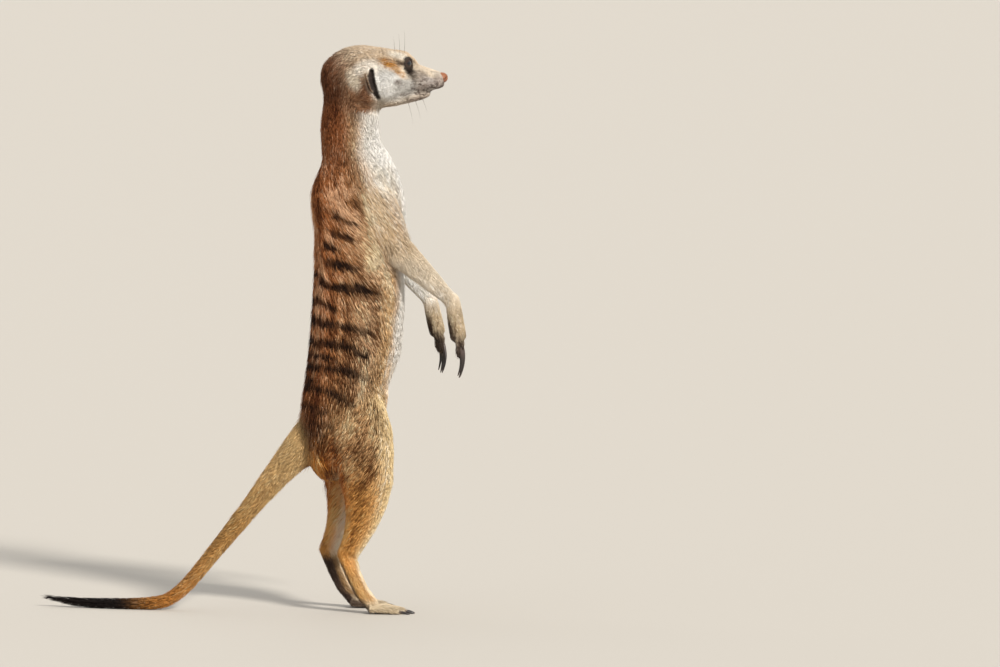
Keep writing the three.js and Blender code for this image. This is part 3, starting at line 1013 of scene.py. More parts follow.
class Markings:
    """The coat's colours, the same for the skin and for the tufts on it."""

    bars = (
        Bar((-24, 222.0), (-9, 217.5), 1.2, 0.4),
        Bar((-8.0, 216.5), (2.6, 211.4), 2.0, 0.8),
        Bar((-9.0, 206.4), (2.0, 202.6), 2.3, 0.85),
        Bar((-14.0, 199.8), (-7.5, 197.8), 2.4, 0.9),
        Bar((-11.0, 190.6), (3.0, 186.6), 3.1, 0.95),
        Bar((-26, 184.0), (-15, 182.0), 2.0, 0.9),
        Bar((-16.0, 178.6), (3.0, 176.0), 3.0, 1.0),
        Bar((3.0, 177.0), (13.0, 173.6), 2.3, 0.9),
        Bar((-26, 170.5), (-7.5, 165.0), 2.5, 1.0),
        Bar((-26, 158.5), (-3.0, 156.3), 2.9, 1.0),
        Bar((-3.0, 156.3), (13.0, 151.4), 2.4, 0.95),
        Bar((-26, 147.6), (0.5, 144.6), 2.8, 1.0),
        Bar((0.5, 144.0), (9.5, 139.4), 2.1, 0.9),
        Bar((-25, 140.0), (-8.0, 137.8), 2.3, 1.0),
        Bar((-26, 133.6), (-2.7, 131.6), 2.7, 1.0),
        Bar((-2.7, 131.4), (11.0, 126.0), 2.2, 0.95),
        Bar((-27, 127.0), (-20, 125.5), 1.8, 0.9),
        Bar((-25, 122.6), (-8.0, 119.2), 2.4, 0.95),
        Bar((-8.5, 117.8), (2.0, 113.4), 2.2, 0.9),
        Bar((-26, 112.5), (-13, 109.5), 2.4, 0.8),
        Bar((-22, 103.0), (-10, 100.5), 2.0, 0.6),
    )

    head = (
        Patch("a87c5c", 3.6, 277.5, 8.6, 12.0, -10, 0.45),  # the neck's side under the ear
        # painted shadow: the shade the ear casts on the fur behind it
        Patch("8d6348", 4.6, 287.0, 9.5, 2.5, -72, 0.6, 0.8),  # the shade behind the ear
        Patch("ded0bb", 0.8, 290.0, 3.4, 6.0, 20, 0.5),  # behind the ear, above
        Patch("ece2d4", 6.0, 297.0, 6.2, 3.6, 28, 0.45),  # over the ear
        Patch("ece4d8", 15.0, 297.2, 6.5, 3.8, -8, 0.5),  # the temple
        Patch("dad8d4", 20.0, 287.5, 10.5, 8.5, -10, 0.35),  # the cheek
        Patch("d4d1cc", 29.0, 286.5, 8.0, 4.5, 0, 0.5),  # the front of the cheek
        Patch("c2b9b2", 43.0, 288.0, 8.5, 5.2, -8, 0.45),  # the muzzle
        Patch("9d9087", 38.5, 286.0, 5.0, 2.6, 20, 0.6, 0.8, 0.0, 0.6),  # the whisker bed
        Patch("dccdb8", 39.5, 295.0, 8.5, 1.7, -25, 0.6, 0.9),  # the muzzle's ridge
        Patch("93867b", 36.4, 292.6, 4.2, 3.2, -30, 0.5, 0.8, 2.5, 0.4),  # below the eye's front corner
        Patch("c58a42", 19.8, 299.2, 5.6, 2.6, -24, 0.6, 1.0, 8.0, 0.65),  # the tawny streak behind the eye
        Patch("c99a62", 26.0, 294.6, 4.8, 1.8, -40, 0.6, 0.9, 8.0, 0.6),  # its lower end
        Patch("e8e0d2", 25.2, 303.7, 5.8, 2.0, -14, 0.5, 0.95, 4.0, 0.2),  # the brow
        Patch("3f2b1f", 26.6, 299.4, 3.4, 1.1, -12, 0.7, 0.9, 8.0, 0.3),  # the eye's outer corner
        Patch("3d322b", 32.4, 294.2, 5.0, 1.9, -62, 0.7, 0.95, 6.0, 0.3),  # the tear line
        Patch("5a4a3e", 33.6, 301.0, 2.0, 2.4, 0, 0.7, 0.7, 5.0, 0.3),  # before the brow
        Patch("857c76", 25.4, 289.2, 2.2, 1.7, 0, 0.6, 0.8, 8.0, 0.6),  # the cheek's whisker spot
        Patch("8f867f", 27.0, 281.6, 5.0, 1.7, 8, 0.6, 0.7, 8.0, 0.7),  # the corner of the mouth
        Patch("b3a294", 37.0, 279.6, 8.5, 2.4, 12, 0.6, 0.85),  # the lower lip
        Patch("8b7e75", 48.0, 288.6, 3.6, 5.2, 0, 0.6, 0.85, 0.0, 0.3),  # round the nose pad
    )

    def __init__(self, skin: Skin, points: np.ndarray, region: np.ndarray) -> None:
        """Finds the trunk's outline at each height.

        Args:
            skin: The skin's makings, with its eyes, ears and mouth.
            points: The skin's corners.
            region: Their region numbers.
        """
        self.skin = skin
        trunk = among(region, *TRUNK)
        self.heights = np.arange(74, 282, 4.0)
        forward, up = forward_up(points[trunk])
        rows = [forward[np.abs(up - height) < 3] for height in self.heights]
        self.back = np.array([row.min() for row in rows])
        self.front = np.array([row.max() for row in rows])

    def base(self, points: np.ndarray, normals: np.ndarray, region: np.ndarray) -> np.ndarray:
        """The ground colour of each place, before it is evened out over the skin.

        Args:
            points: Places on the skin.
            normals: The skin's directions there.
            region: Their region numbers.

        Returns:
            Linear colours, one per row.
        """
        colours = np.zeros((len(points), 3))
        painters = (
            (self.paint_head, (Region.HEAD,)),
            (self.paint_ear, (Region.EAR,)),
            (self.paint_trunk, TRUNK),
            (self.paint_tail, TAIL),
            (self.paint_arm, ARM),
            (self.paint_leg, LEG),
        )
        for painter, parts in painters:
            for part in parts:
                here = region == part.value
                colours[here] = painter(points[here], normals[here], part)
        return colours

    def paint_trunk(self, points: np.ndarray, normals: np.ndarray, part: Region) -> np.ndarray:
        """Chestnut along the spine, tan flanks with a rusty lower edge, and a white front.

        Args:
            points: Places on the skin.
            normals: The skin's directions there; not used here.
            part: The places' region; not used here.

        Returns:
            Linear colours, one per row.
        """
        forward, up = forward_up(points)
        back = np.interp(up, self.heights, self.back)
        front = np.interp(up, self.heights, self.front)
        share = (forward - back) / (front - back)
        colours = layered(
            plain("ad6c3e", len(points)),
            ("ab7a50", smooth_step(0.12, 0.34, share)),
            ("d2ac86", smooth_step(0.34, 0.62, share) * smooth_step(226, 204, up)),
            ("8f5f37", smooth_step(0.1, 0.3, share) * smooth_step(200, 222, up) * 0.85),
        )
        nape = layered(plain("8f552f", len(points)), ("70442a", smooth_step(0.25, 0.6, share)))
        colours += (nape - colours) * smooth_step(236, 252, up)[:, None]
        rump = smooth_step(122, 104, up) * smooth_step(0.42, 0.2, share)
        edge = self.white_edge(up)
        rusty = np.exp(-(((forward - edge + 4.0) / 4.0) ** 2))
        colours = layered(
            colours,
            ("3a1c0c", rump * smooth_step(88, 97, up)),
            ("e0913f", smooth_step(97, 88, up) * smooth_step(0.6, 0.35, share)),
            ("ebc38a", rusty * 0.85 * smooth_step(196, 178, up)),
            ("cba77a", smooth_step(edge - 8, edge - 1, forward) * smooth_step(190, 215, up)),
            ("f4f0ea", smooth_step(edge - 1.5, edge + 1.5, forward)),
        )
        return self.shoulder(colours, points)

    def white_edge(self, up: np.ndarray) -> np.ndarray:
        """How far forward of the heel line the white front begins at each height."""
        heights = [100, 120, 165, 200, 212, 222, 230, 238, 246, 254, 262, 274]
        return np.interp(up, heights, [15.5, 19, 22.5, 25, 24, 19, 14, 9.5, 5.4, 3.3, 3.6, 4.5])

    def shoulder(self, colours: np.ndarray, points: np.ndarray) -> np.ndarray:
        """Cream over the front of the shoulder, with a tan patch on it.

        Args:
            colours: The colours so far.
            points: Places on the skin.

        Returns:
            The new colours.
        """
        forward, up = forward_up(points)
        beside = np.abs(points[:, 0]) > 9
        edge = self.white_edge(up)
        cream = smooth_step(edge - 3, edge + 4, forward)
        cream = cream * smooth_step(198, 214, up) * smooth_step(248, 240, up)
        tan = np.exp(-(((forward - 20.5) / 4.6) ** 2) - ((up - 221) / 7.5) ** 2)
        return layered(colours, ("ece2d0", cream * 0.8 * beside), ("b5824f", tan * 0.8 * beside))

    def paint_head(self, points: np.ndarray, normals: np.ndarray, part: Region) -> np.ndarray:
        """A grizzled crown, a dark nape, a pale face and painted shade under the jaw.

        Args:
            points: Places on the skin.
            normals: The skin's directions there; not used here.
            part: The places' region; not used here.

        Returns:
            Linear colours, one per row.
        """
        forward, up = forward_up(points)
        top = smooth_step(298.5, 303, up + 0.15 * (forward - 10))
        nape_line = np.interp(up, [272, 281, 291, 301, 305, 309.5], [7.5, 4.2, 1.2, -0.8, -4.6, -10])
        return layered(
            plain("cdb497", len(points)),
            ("e4d8c6", smooth_step(7, 15, forward)),
            ("d4bea3", top),
            ("6d4228", smooth_step(nape_line + 1.8, nape_line - 1.8, forward)),
            # painted shade: a duller tan-grey under the jaw
            ("c4b09a", smooth_step(281, 277, up) * smooth_step(12, 20, forward)),
        )

    def paint_ear(self, points: np.ndarray, normals: np.ndarray, part: Region) -> np.ndarray:
        """A brown back, a pale rim and a near-black hollow.

        Args:
            points: Places on the skin.
            normals: The skin's directions there.
            part: The places' region; not used here.

        Returns:
            Linear colours, one per row.
        """
        return layered(
            plain("35241a", len(points)),
            ("8a6c53", smooth_step(0.1, 0.6, normals[:, 1])),
            ("a98f74", smooth_step(0.6, 0.92, normals[:, 0] * np.sign(points[:, 0]))),
            ("1d120d", smooth_step(0.25, 0.7, -normals[:, 1])),
        )

    def paint_tail(self, points: np.ndarray, normals: np.ndarray, part: Region) -> np.ndarray:
        """Sandy tan at the root, browner along its length, and a black end.

        Args:
            points: Places on the skin.
            normals: The skin's directions there; not used here.
            part: The places' region; not used here.

        Returns:
            Linear colours, one per row.
        """
        back = points[:, 1]
        return layered(
            plain("dcb983", len(points)),
            ("c49558", smooth_step(30, 62, back)),
            ("c58540", smooth_step(70, 98, back)),
            ("1f1715", smooth_step(104, 122, back)),
        )

    def paint_arm(self, points: np.ndarray, normals: np.ndarray, part: Region) -> np.ndarray:
        """Sandy outside, nearly white inside and in front, with grey fingers.

        Args:
            points: Places on the skin.
            normals: The skin's directions there.
            part: The places' region.

        Returns:
            Linear colours, one per row.
        """
        up = points[:, 2]
        inside = smooth_step(0.1, 0.7, -normals[:, 0] * np.sign(points[:, 0]))
        if part is Region.UPPER_ARM:
            inside = inside * smooth_step(204, 190, up)
        colours = layered(
            plain("d8be9a", len(points)),
            ("eaddc9", smooth_step(205, 190, up) * 0.9),
            ("f4f1ec", inside * 0.8),
        )
        if part is Region.UPPER_ARM:
            colours = self.shoulder(colours, points)
        return layered(
            colours,
            ("cdb898", smooth_step(176, 160, up)),
            ("4b3b31", smooth_step(0.2, 0.7, normals[:, 1]) * smooth_step(166, 158, up)),
            ("54463e", smooth_step(155, 147, up)),
        )

    def paint_leg(self, points: np.ndarray, normals: np.ndarray, part: Region) -> np.ndarray:
        """Tan outside, cream in front, rust behind and white inside; pale toes and dark soles.

        Args:
            points: Places on the skin.
            normals: The skin's directions there.
            part: The places' region.

        Returns:
            Linear colours, one per row.
        """
        up = points[:, 2]
        inward = -normals[:, 0] * np.sign(points[:, 0])
        ahead = -normals[:, 1]
        inside = smooth_step(0.15, 0.75, inward) * smooth_step(26, 36, up) * smooth_step(-0.2, 0.35, ahead)
        colours = layered(
            plain("ba8f63", len(points)),
            ("e4a455", smooth_step(90, 64, up) * 0.85),
            ("ecd3a2", smooth_step(0.15, 0.8, ahead)),
            ("c06a22", smooth_step(0.2, 0.8, -ahead) * smooth_step(54, 66, up)),
            ("f6ecda", inside * 0.85),
            ("dbaa6a", smooth_step(30, 18, up)),
            ("d6c3a4", smooth_step(10, 5, up)),
        )
        if part is Region.HINDFOOT:
            behind = smooth_step(0.15, 0.5, 0.72 * inward - 0.85 * ahead)
            colours = layered(
                colours,
                ("f3e6cc", smooth_step(0.35, 0.8, ahead) * smooth_step(32, 24, up) * 0.75),
                ("4a3a32", behind * smooth_step(31.5, 28, up)),
            )
        soles = smooth_step(0.55, 0.9, -normals[:, 2]) * smooth_step(5, 3, up)
        return layered(colours, ("54402f", soles))

    def detailed(self, colours: np.ndarray, points: np.ndarray, region: np.ndarray) -> np.ndarray:
        """Lays the bars, the face's patches and mottling over the ground colour.

        Args:
            colours: The ground colours.
            points: Places on the skin.
            region: Their region numbers.

        Returns:
            Linear colours, one per row.
        """
        colours = layered(colours, ("1f0d06", self.barred(points, region)))
        head = region == Region.HEAD.value
        colours[head] = self.face(colours[head], points[head] + self.wander(points[head], 6.0, 1) * 0.45)
        mottle = 1.0 + 0.10 * lattice_noise(points, 4.0, 5) + 0.07 * lattice_noise(points, 13.0, 6)
        return colours * mottle[:, None]

    def barred(self, points: np.ndarray, region: np.ndarray) -> np.ndarray:
        """How fully the bars across the back cover each place, from 0 to 1.

        Args:
            points: Places on the skin.
            region: Their region numbers.

        Returns:
            One value per place.
        """
        moved = points + (self.wander(points, 6.0, 1) * 1.1 + self.wander(points, 2.6, 7) * 0.7)
        bars = np.max([bar.cover(moved) for bar in self.bars], axis=0)
        trunk = among(region, *TRUNK[1:], Region.THIGH)
        strength = np.where(trunk, 0.94 + 0.35 * lattice_noise(points, 4.0, 4), 0.0)
        return np.clip(bars * strength, 0.0, 0.96)

    def wander(self, points: np.ndarray, grain: float, seed: int) -> np.ndarray:
        """Smooth offsets that make an edge wander: noise of the grain given, one along each axis."""
        return np.column_stack([lattice_noise(points, grain, seed + axis) for axis in range(3)])

    def face(self, colours: np.ndarray, points: np.ndarray) -> np.ndarray:
        """The head's patches, the black rings round the eyes and the dark line of the mouth.

        Args:
            colours: The ground colours.
            points: Places on the head.

        Returns:
            Linear colours, one per row.
        """
        colours = layered(colours, *((patch.colour, patch.cover(points)) for patch in self.head))
        colours = layered(colours, *(("20130e", ear.hollow(points) * 0.97) for ear in self.skin.ears))
        for eye in self.skin.eyes:
            _, reach, theta = eye.seen(points)
            theta = theta + 0.09 * lattice_noise(points, 1.6, 33)
            ring = smooth_step(eye.opening + 0.46, eye.opening + 0.16, theta)
            colours = layered(colours, ("1e1410", ring * (reach < eye.radius + 3.0) * 0.96))
        forward, up = forward_up(points)
        lips = smooth_step(0.9, 0.25, np.abs(self.skin.mouth.above(points))) * smooth_step(26, 30, forward)
        snout = smooth_step(29, 35, forward)
        mottle = lattice_noise(points, 0.8, 31) * 0.7 + lattice_noise(points, 2.2, 32) * 0.5
        low = smooth_step(293.0, 286.5, up) * smooth_step(276.5, 279.5, up)
        cheek = smooth_step(19, 27, forward) * smooth_step(292, 287, up) * 0.35
        pores = np.maximum(snout * (0.25 + 0.75 * low), cheek) * smooth_step(-0.15, 0.35, mottle)
        return layered(colours, ("4a3c35", pores * 0.85), ("3b2a24", lips * 0.3))


# ---- the coat ----


class Coat:
    """The short coat, grown on the skin as thin tufts of joined mesh.

    A tuft is a flattened three-sided blade: its root lies in the skin, and its middle and tip
    follow the skin at their own heights, so that the coat lies down along the body.
    """

    middle = 0.44  # how far along a tuft its middle ring lies
    sunk = 0.3  # how deep its root lies in the skin
    thickness = 0.4  # a tuft's thickness over its width
    patch = 0.003  # the side of a tuft's square on the baking map
    shares = (0.35, 0.6)  # where between its middle and its tip a tuft's two colours are read
    guards = 0.12  # the share of guard hairs, which are longer, higher and narrower
    guard_length, guard_height, guard_width = 1.6, 1.3, 0.7
    white_flatter, white_narrower = 0.45, 0.2  # how the white coat differs
    seat_longer, seat_higher = 0.8, 0.7  # how the coat over the seat differs
    sway_wide, sway_fine, sway_own = 0.28, 0.07, 0.08  # in radians: by 8 mm waves, 2.5 mm locks, tufts
    slip_along, slip_across = 0.7, 0.25  # how far a tuft's colour may come from beside it

    pieces: tuple[tuple[str, tuple[Region, ...], bool, str], ...] = (
        ("coat_head", (Region.HEAD, Region.EAR), True, "pale_coat"),
        ("coat_neck", (Region.NECK,), True, "back_coat"),
        ("coat_chest", (Region.CHEST,), True, "flank_coat"),
        ("coat_belly", (Region.BELLY,), True, "flank_coat"),
        ("coat_rump", (Region.RUMP,), True, "back_coat"),
        ("coat_arm", ARM, True, "limb_coat"),
        ("coat_thigh", (Region.THIGH,), True, "limb_coat"),
        ("coat_leg", (Region.SHANK, Region.HINDFOOT), True, "limb_coat"),
        ("coat_tail", (Region.TAIL_BASE, Region.TAIL_MIDDLE), False, "limb_coat"),
        ("coat_tail_tip", (Region.TAIL_END,), False, "dark_coat"),
    )

    def __init__(self, skin: Skin, mesh: bpy.types.Mesh, region: np.ndarray, markings: Markings) -> None:
        """Reads the skin and works out how the coat lies on it.

        Args:
            skin: The skin's makings.
            mesh: The finished skin.
            region: Its corners' region numbers.
            markings: The coat's colours.
        """
        self.stance = skin.stance
        self.skin = skin
        self.mesh = mesh
        self.markings = markings
        self.region = region
        self.points = self.stance.to_body(points_of(mesh))
        self.normals = normals_of(mesh)
        edges = edges_of(mesh)
        thinness = face_thinness(self.points, region)
        length = pelt_values(region, "length") * thinness
        depth = pelt_values(region, "depth") * thinness
        width = pelt_values(region, "width") * np.sqrt(thinness)
        crowd = pelt_values(region, "crowd") / np.sqrt(thinness)
        for ear in skin.ears:
            length = length * (1.0 - 0.6 * ear.beside(self.points))
        forward, up = forward_up(self.points)
        seat = np.exp(-(((forward + 15) / 7) ** 2) - ((up - 80) / 9) ** 2)
        seat *= among(region, Region.RUMP, Region.THIGH)
        length = length * (1.0 + self.seat_longer * seat)
        depth = depth * (1.0 + self.seat_higher * seat)
        values = [length, depth, width, crowd, pelt_values(region, "grizzle")]
        self.fields = spread(np.column_stack(values), edges, 14)
        self.fields[:, 3] *= 1.0 - self.bare()
        flow = self.across_skin(self.guide_flow())
        for _ in range(3):
            flow = self.across_skin(spread(flow, edges, 10))
        self.flow = flow
        ground = markings.base(self.points, self.normals, region)
        self.ground = spread(ground, edges, 14)
        white = smooth_step(0.45, 0.75, self.ground.mean(axis=1))
        self.fields[:, 1] *= 1.0 - self.white_flatter * white
        self.fields[:, 2] *= 1.0 - self.white_narrower * white
        chance = np.random.default_rng(SEED + 1).normal(size=len(self.points))
        self.streak = drawn_out(chance, edges, self.points, flow, 14)

    def across_skin(self, vectors: np.ndarray) -> np.ndarray:
        """Directions laid flat on the skin and brought to length one."""
        flat = vectors - self.normals * np.sum(vectors * self.normals, axis=1)[:, None]
        return unit(flat)

    def bare(self) -> np.ndarray:
        """Where no coat grows, from 0 to 1: eyes, nose, lips and soles.

        Returns:
            One value per corner.
        """
        points, region = self.points, self.region
        forward, up = forward_up(points)
        bare = smooth_step(47.0, 48.2, forward) * smooth_step(287.4, 288.4, up)
        for eye in self.skin.eyes:
            _, reach, theta = eye.seen(points)
            lids = smooth_step(eye.opening + 0.30, eye.opening + 0.16, theta)
            bare = np.maximum(bare, lids * (reach < eye.radius + 2.0))
        lips = np.abs(self.skin.mouth.above(points)) < 0.4
        bare = np.maximum(bare, lips * smooth_step(28, 31, forward) * (region == Region.HEAD.value))
        sole = (region == Region.HINDFOOT.value) & (self.normals[:, 2] < -0.5) & (up < 3.0)
        inner = (region == Region.EAR.value) & (self.normals[:, 1] < -0.3)
        hollow = np.max([ear.hollow(points) for ear in self.skin.ears], axis=0)
        return np.max([bare, sole, inner * 0.85, hollow * (region == Region.HEAD.value)], axis=0)

    def guide_flow(self) -> np.ndarray:
        """Which way the hair runs at each corner, before it is laid on the skin.

        Returns:
            One direction per corner.
        """
        forward, up = forward_up(self.points)
        hand = np.sign(self.points[:, 0])
        side = np.abs(self.points[:, 0])
        flow = np.tile(at(0, 0, -1), (len(forward), 1))

        def lay(here: np.ndarray, out: np.ndarray, ahead: np.ndarray, rise: np.ndarray) -> None:
            """Lays the hair of some corners outwards, ahead and up, by these shares."""
            parts = np.broadcast_arrays(out, ahead, rise, forward)
            flow[here] = np.column_stack([parts[0] * hand, -parts[1], parts[2]])[here]

        trunk = among(self.region, *TRUNK[1:])
        slant = np.interp(up, [75, 100, 130, 170, 224, 250], [-0.15, 0.0, 0.15, 0.55, 0.95, 0.3])
        slant = slant * smooth_step(1.0, 10.0, side) * smooth_step(26, 12, forward)
        lay(trunk, slant * 0.55, slant, -1.0)
        turned = np.interp(forward, [-15, 0, 15], [0.0, 0.25, 0.0])
        lay(self.region == Region.NECK.value, 0.05, turned, -1.0)
        head = self.region == Region.HEAD.value
        bend = np.interp(forward, [-14, -6, 4, 16], [0.0, 0.35, 0.85, 1.0])
        drop = np.interp(forward, [-14, -6, 4, 16, 30], [-1.0, -0.9, -0.35, 0.0, -0.1])
        cheek = smooth_step(292, 284, up)
        lay(head, 0.15 + 0.1 * cheek, -bend, drop - 0.55 * cheek)
        lay(self.region == Region.EAR.value, 0.5, -0.4, np.where(up > 288, 0.6, -0.5))
        thigh = self.region == Region.THIGH.value
        slope = np.interp(up, [74, 90, 112, 128], [-0.95, -0.85, -0.35, -0.05])
        lay(thigh, 0.0, slope * np.interp(forward, [-18, -6, 8, 20], [0.45, 1.0, 1.0, 0.45]), -0.85)
        for chain in (SIDED[:3], SIDED[3:]):
            for name, way in HANDS.items():
                self.follow_limb(flow, [f"{part}_{name}" for part in chain], way)
        for first, last in (("tail_base", "tail_middle"), ("tail_middle", "tail_end")):
            run = self.middle_of(last) - self.middle_of(first)
            flow[self.region == FLESH[first].value] = unit(run)
        flow[self.region == Region.TAIL_END.value] = unit(at(0.28, -1.0, -0.02))
        return flow

    def follow_limb(self, flow: np.ndarray, chain: list[str], hand: float) -> None:
        """Lets the hair of a limb run down it.

        Args:
            flow: The flow at the skin's corners, which is changed.
            chain: The limb's parts, from the body outwards.
            hand: 1 for the left limb, -1 for the right one.
        """
        same = np.sign(self.points[:, 0]) == hand
        for first, last in zip(chain, chain[1:] + [chain[-1]]):
            part = FLESH[first]
            here = same & (self.region == part.value)
            if part is Region.THIGH:
                continue
            if part is Region.SHANK:
                flow[here] = unit(at(0, -0.62, -0.78))
            elif part is Region.HINDFOOT:
                high = (self.points[:, 2] > 10)[:, None]
                flow[here] = np.where(high, at(0, 0.45, -0.9), at(0, 1.0, -0.15))[here]
            elif part is Region.FOREPAW:
                flow[here] = unit(at(0, 0.25, -1))
            else:
                flow[here] = unit(self.middle_of(last) - self.middle_of(first))

    def middle_of(self, name: str) -> np.ndarray:
        """The middle of a node's box."""
        low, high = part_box(name)
        return self.stance.to_body((np.array(low) + np.array(high)) / 2)

    def grow(self, finish: bpy.types.Material) -> None:
        """Plants the tufts and makes the coat's pieces.

        Args:
            finish: The fur's material.
        """
        rng = np.random.default_rng(SEED)
        tufts = self.plant(rng)
        template, corners, uvs = self.blade()
        tufts["shape"], tufts["shade"] = self.shape(tufts, template, rng)
        log.info("%d tufts", len(tufts["shape"]))
        for name, regions, sided, slot in self.pieces:
            chosen = among(tufts["region"], *regions)
            for word, hand in HANDS.items() if sided else (("", 0.0),):
                rows = np.flatnonzero(chosen & (tufts["root"][:, 0] * hand >= 0))
                full_name = f"{name}_{word}" if word else name
                mesh = self.join(full_name, {key: value[rows] for key, value in tufts.items()}, corners, uvs)
                piece = new_piece(full_name, mesh, finish)

    def plant(self, rng: np.random.Generator) -> dict[str, np.ndarray]:
        """Chooses the roots, evenly spread at the coat's crowding.

        Args:
            rng: The source of chance.

        Returns:
            For each tuft its root, normal, flow, five coat values, ground colour and region.
        """
        self.mesh.calc_loop_triangles()
        faces = read(self.mesh.loop_triangles, "vertices", 3, int)
        first, second, third = (self.points[faces[:, k]] for k in range(3))
        area = np.linalg.norm(np.cross(second - first, third - first), axis=1) / 2
        ends = np.cumsum(area * self.fields[faces, 3].mean(axis=1))
        count = int(ends[-1])
        picks = (np.arange(count) + rng.random(count)) * (ends[-1] / count)
        chosen = faces[np.minimum(np.searchsorted(ends, picks), len(faces) - 1)]
        across, along = rng.random(count), rng.random(count)
        over = across + along > 1
        across[over], along[over] = 1 - across[over], 1 - along[over]
        weights = np.column_stack([1 - across - along, across, along])

        def mean(values: np.ndarray) -> np.ndarray:
            """The values at the roots, from the three corners round each."""
            return np.einsum("ij,ijk->ik", weights, values[chosen])

        return {
            "root": mean(self.points),
            "normal": unit(mean(self.normals)),
            "flow": mean(self.flow),
            "values": mean(self.fields),
            "ground": mean(self.ground),
            "streak": mean(self.streak[:, None])[:, 0],
            "region": self.region[chosen[:, 0]],
        }

    def blade(self) -> tuple[np.ndarray, np.ndarray, np.ndarray]:
        """One tuft as a pattern: three-sided, widest at its middle ring, closed to a point.

        Returns:
            Its corners (across, thick, along), its triangles, and the triangles' map places.
        """
        work = bmesh.new()
        bmesh.ops.create_circle(work, segments=3, radius=0.42)
        edges = list(work.edges)
        for rise, grow in ((self.middle, 1.2), (1.0, 0.0)):
            ring, edges = next_ring(work, edges)
            for corner in ring:
                corner.co = Vector((corner.co.x * grow, corner.co.y * grow, rise))
        bmesh.ops.pointmerge(work, verts=ring, merge_co=Vector((0, 0, 1)))
        bmesh.ops.recalc_face_normals(work, faces=work.faces)
        bmesh.ops.triangulate(work, faces=work.faces)
        work.verts.index_update()
        corners = corners_of(work)
        triangles = np.array([[corner.index for corner in face.verts] for face in work.faces])
        places = []
        for face in work.faces:
            heart = face.calc_center_median()
            third = (math.atan2(heart.y, heart.x) / math.tau) % 1.0
            for corner in face.verts:
                turn = (math.atan2(corner.co.y, corner.co.x) / math.tau) % 1.0
                turn = turn if corner.co.z < 1 else third
                places.append((turn + round(third - turn), corner.co.z))
        work.free()
        uvs = np.array(places)
        uvs[:, 0] = (uvs[:, 0] - uvs[:, 0].min()) / np.ptp(uvs[:, 0])
        return corners, triangles, uvs

    def shape(
        self, tufts: dict[str, np.ndarray], template: np.ndarray, rng: np.random.Generator
    ) -> tuple[np.ndarray, np.ndarray]:
        """Lays every tuft along the skin and colours it.

        Args:
            tufts: The roots and their values.
            template: One tuft's corners.
            rng: The source of chance.

        Returns:
            The tufts' corners in body millimetres, and their corners' colours.
        """
        root, normal, values = tufts["root"], tufts["normal"], tufts["values"]
        count = len(root)
        guard = rng.random(count) < self.guards
        length = values[:, 0] * rng.uniform(0.75, 1.25, count) * np.where(guard, self.guard_length, 1.0)
        height = values[:, 1] * rng.uniform(0.7, 1.05, count) * np.where(guard, self.guard_height, 1.0)
        width = values[:, 2] * rng.uniform(0.7, 1.25, count) * np.where(guard, self.guard_width, 1.0)
        trunk = among(tufts["region"], *TRUNK, Region.THIGH)
        swing = self.sway_wide * lattice_noise(root, 8.0, 11) + self.sway_fine * lattice_noise(root, 2.5, 12)
        calm = np.where(trunk, 0.9, 0.4)
        calm *= 1.0 - 0.5 * smooth_step(0.45, 0.75, tufts["ground"].mean(axis=1))
        swing = (swing + rng.normal(0, self.sway_own, count)) * calm
        sideways = np.cross(normal, tufts["flow"])
        run = tufts["flow"] * np.cos(swing)[:, None] + sideways * np.sin(swing)[:, None]
        run = unit(run - normal * np.sum(run * normal, axis=1)[:, None])
        tree = searchable(self.points, self.mesh)
        middle = self.lifted(tree, root + run * (length * self.middle)[:, None], normal, height * 0.78)
        tip = self.lifted(tree, root + run * length[:, None], normal, height)
        base = root - normal * self.sunk
        levels = {0.0: base, self.middle: middle, 1.0: tip}
        steer = unit(tip - base)
        across = unit(np.cross(normal, steer))
        above = np.cross(steer, across)
        corners = np.empty((count, len(template), 3))
        for index, (x, y, level) in enumerate(template):
            nearest = min(levels, key=lambda key: abs(key - level))
            corners[:, index] = levels[nearest]
            corners[:, index] += across * (x * width)[:, None] + above * (y * width * self.thickness)[:, None]
        corners[:, :, 2] = np.maximum(corners[:, :, 2], 0.02)
        slip = run * rng.normal(0, self.slip_along, count)[:, None]
        slip += across * rng.normal(0, self.slip_across, count)[:, None]
        slip *= np.where(tufts["region"] == Region.HEAD.value, 0.35, 1.0)[:, None]
        streaky = np.where(among(tufts["region"], *TAIL[:2], Region.HEAD), 0.2, 0.5)
        streak = tufts["streak"] * streaky * 0.9 + 0.5 * self.locks(tufts, sideways) * trunk
        tone = streak + rng.normal(0, 0.38, count) + 0.15 * lattice_noise(root, 4.0, 22)
        tone = np.clip(tone, -1, 1) * values[:, 4]
        shades = []
        for share in self.shares:
            place = middle + (tip - middle) * share + slip
            colours = self.markings.detailed(tufts["ground"], place, tufts["region"])
            bars = self.markings.barred(place, tufts["region"])
            shades.append(self.grizzled(colours, np.where(tone > 0, tone * (1.0 - 0.9 * bars), tone)))
        # the root is darker than the tip: partly the hair's own darker base, partly painted shade deep in the
        # coat, less of it where the coat is pale
        light = 0.5 + 0.35 * smooth_step(0.25, 0.7, shades[0].mean(axis=1))
        result = np.empty_like(corners)
        for index, level in enumerate(template[:, 2]):
            if level > 0.9:
                result[:, index] = shades[1] * 1.1
            else:
                result[:, index] = shades[0] * (0.92 if level > 0.1 else light[:, None])
        return corners, np.clip(result, 0.0, 0.93)

    def locks(self, tufts: dict[str, np.ndarray], sideways: np.ndarray) -> np.ndarray:
        """Noise drawn out along the hair, which parts the coat in fine locks.

        Args:
            tufts: The roots and their values.
            sideways: The direction across the hair at each root.

        Returns:
            One value per tuft, from -1 to 1.
        """
        out = tufts["root"] - at(0, 0, 165)
        across = np.sum(out * sideways, axis=1)
        along = np.sum(out * tufts["flow"], axis=1)
        return lattice_noise(np.column_stack([across, 0.25 * along, 0.3 * out[:, 0]]), 1.5, 23)

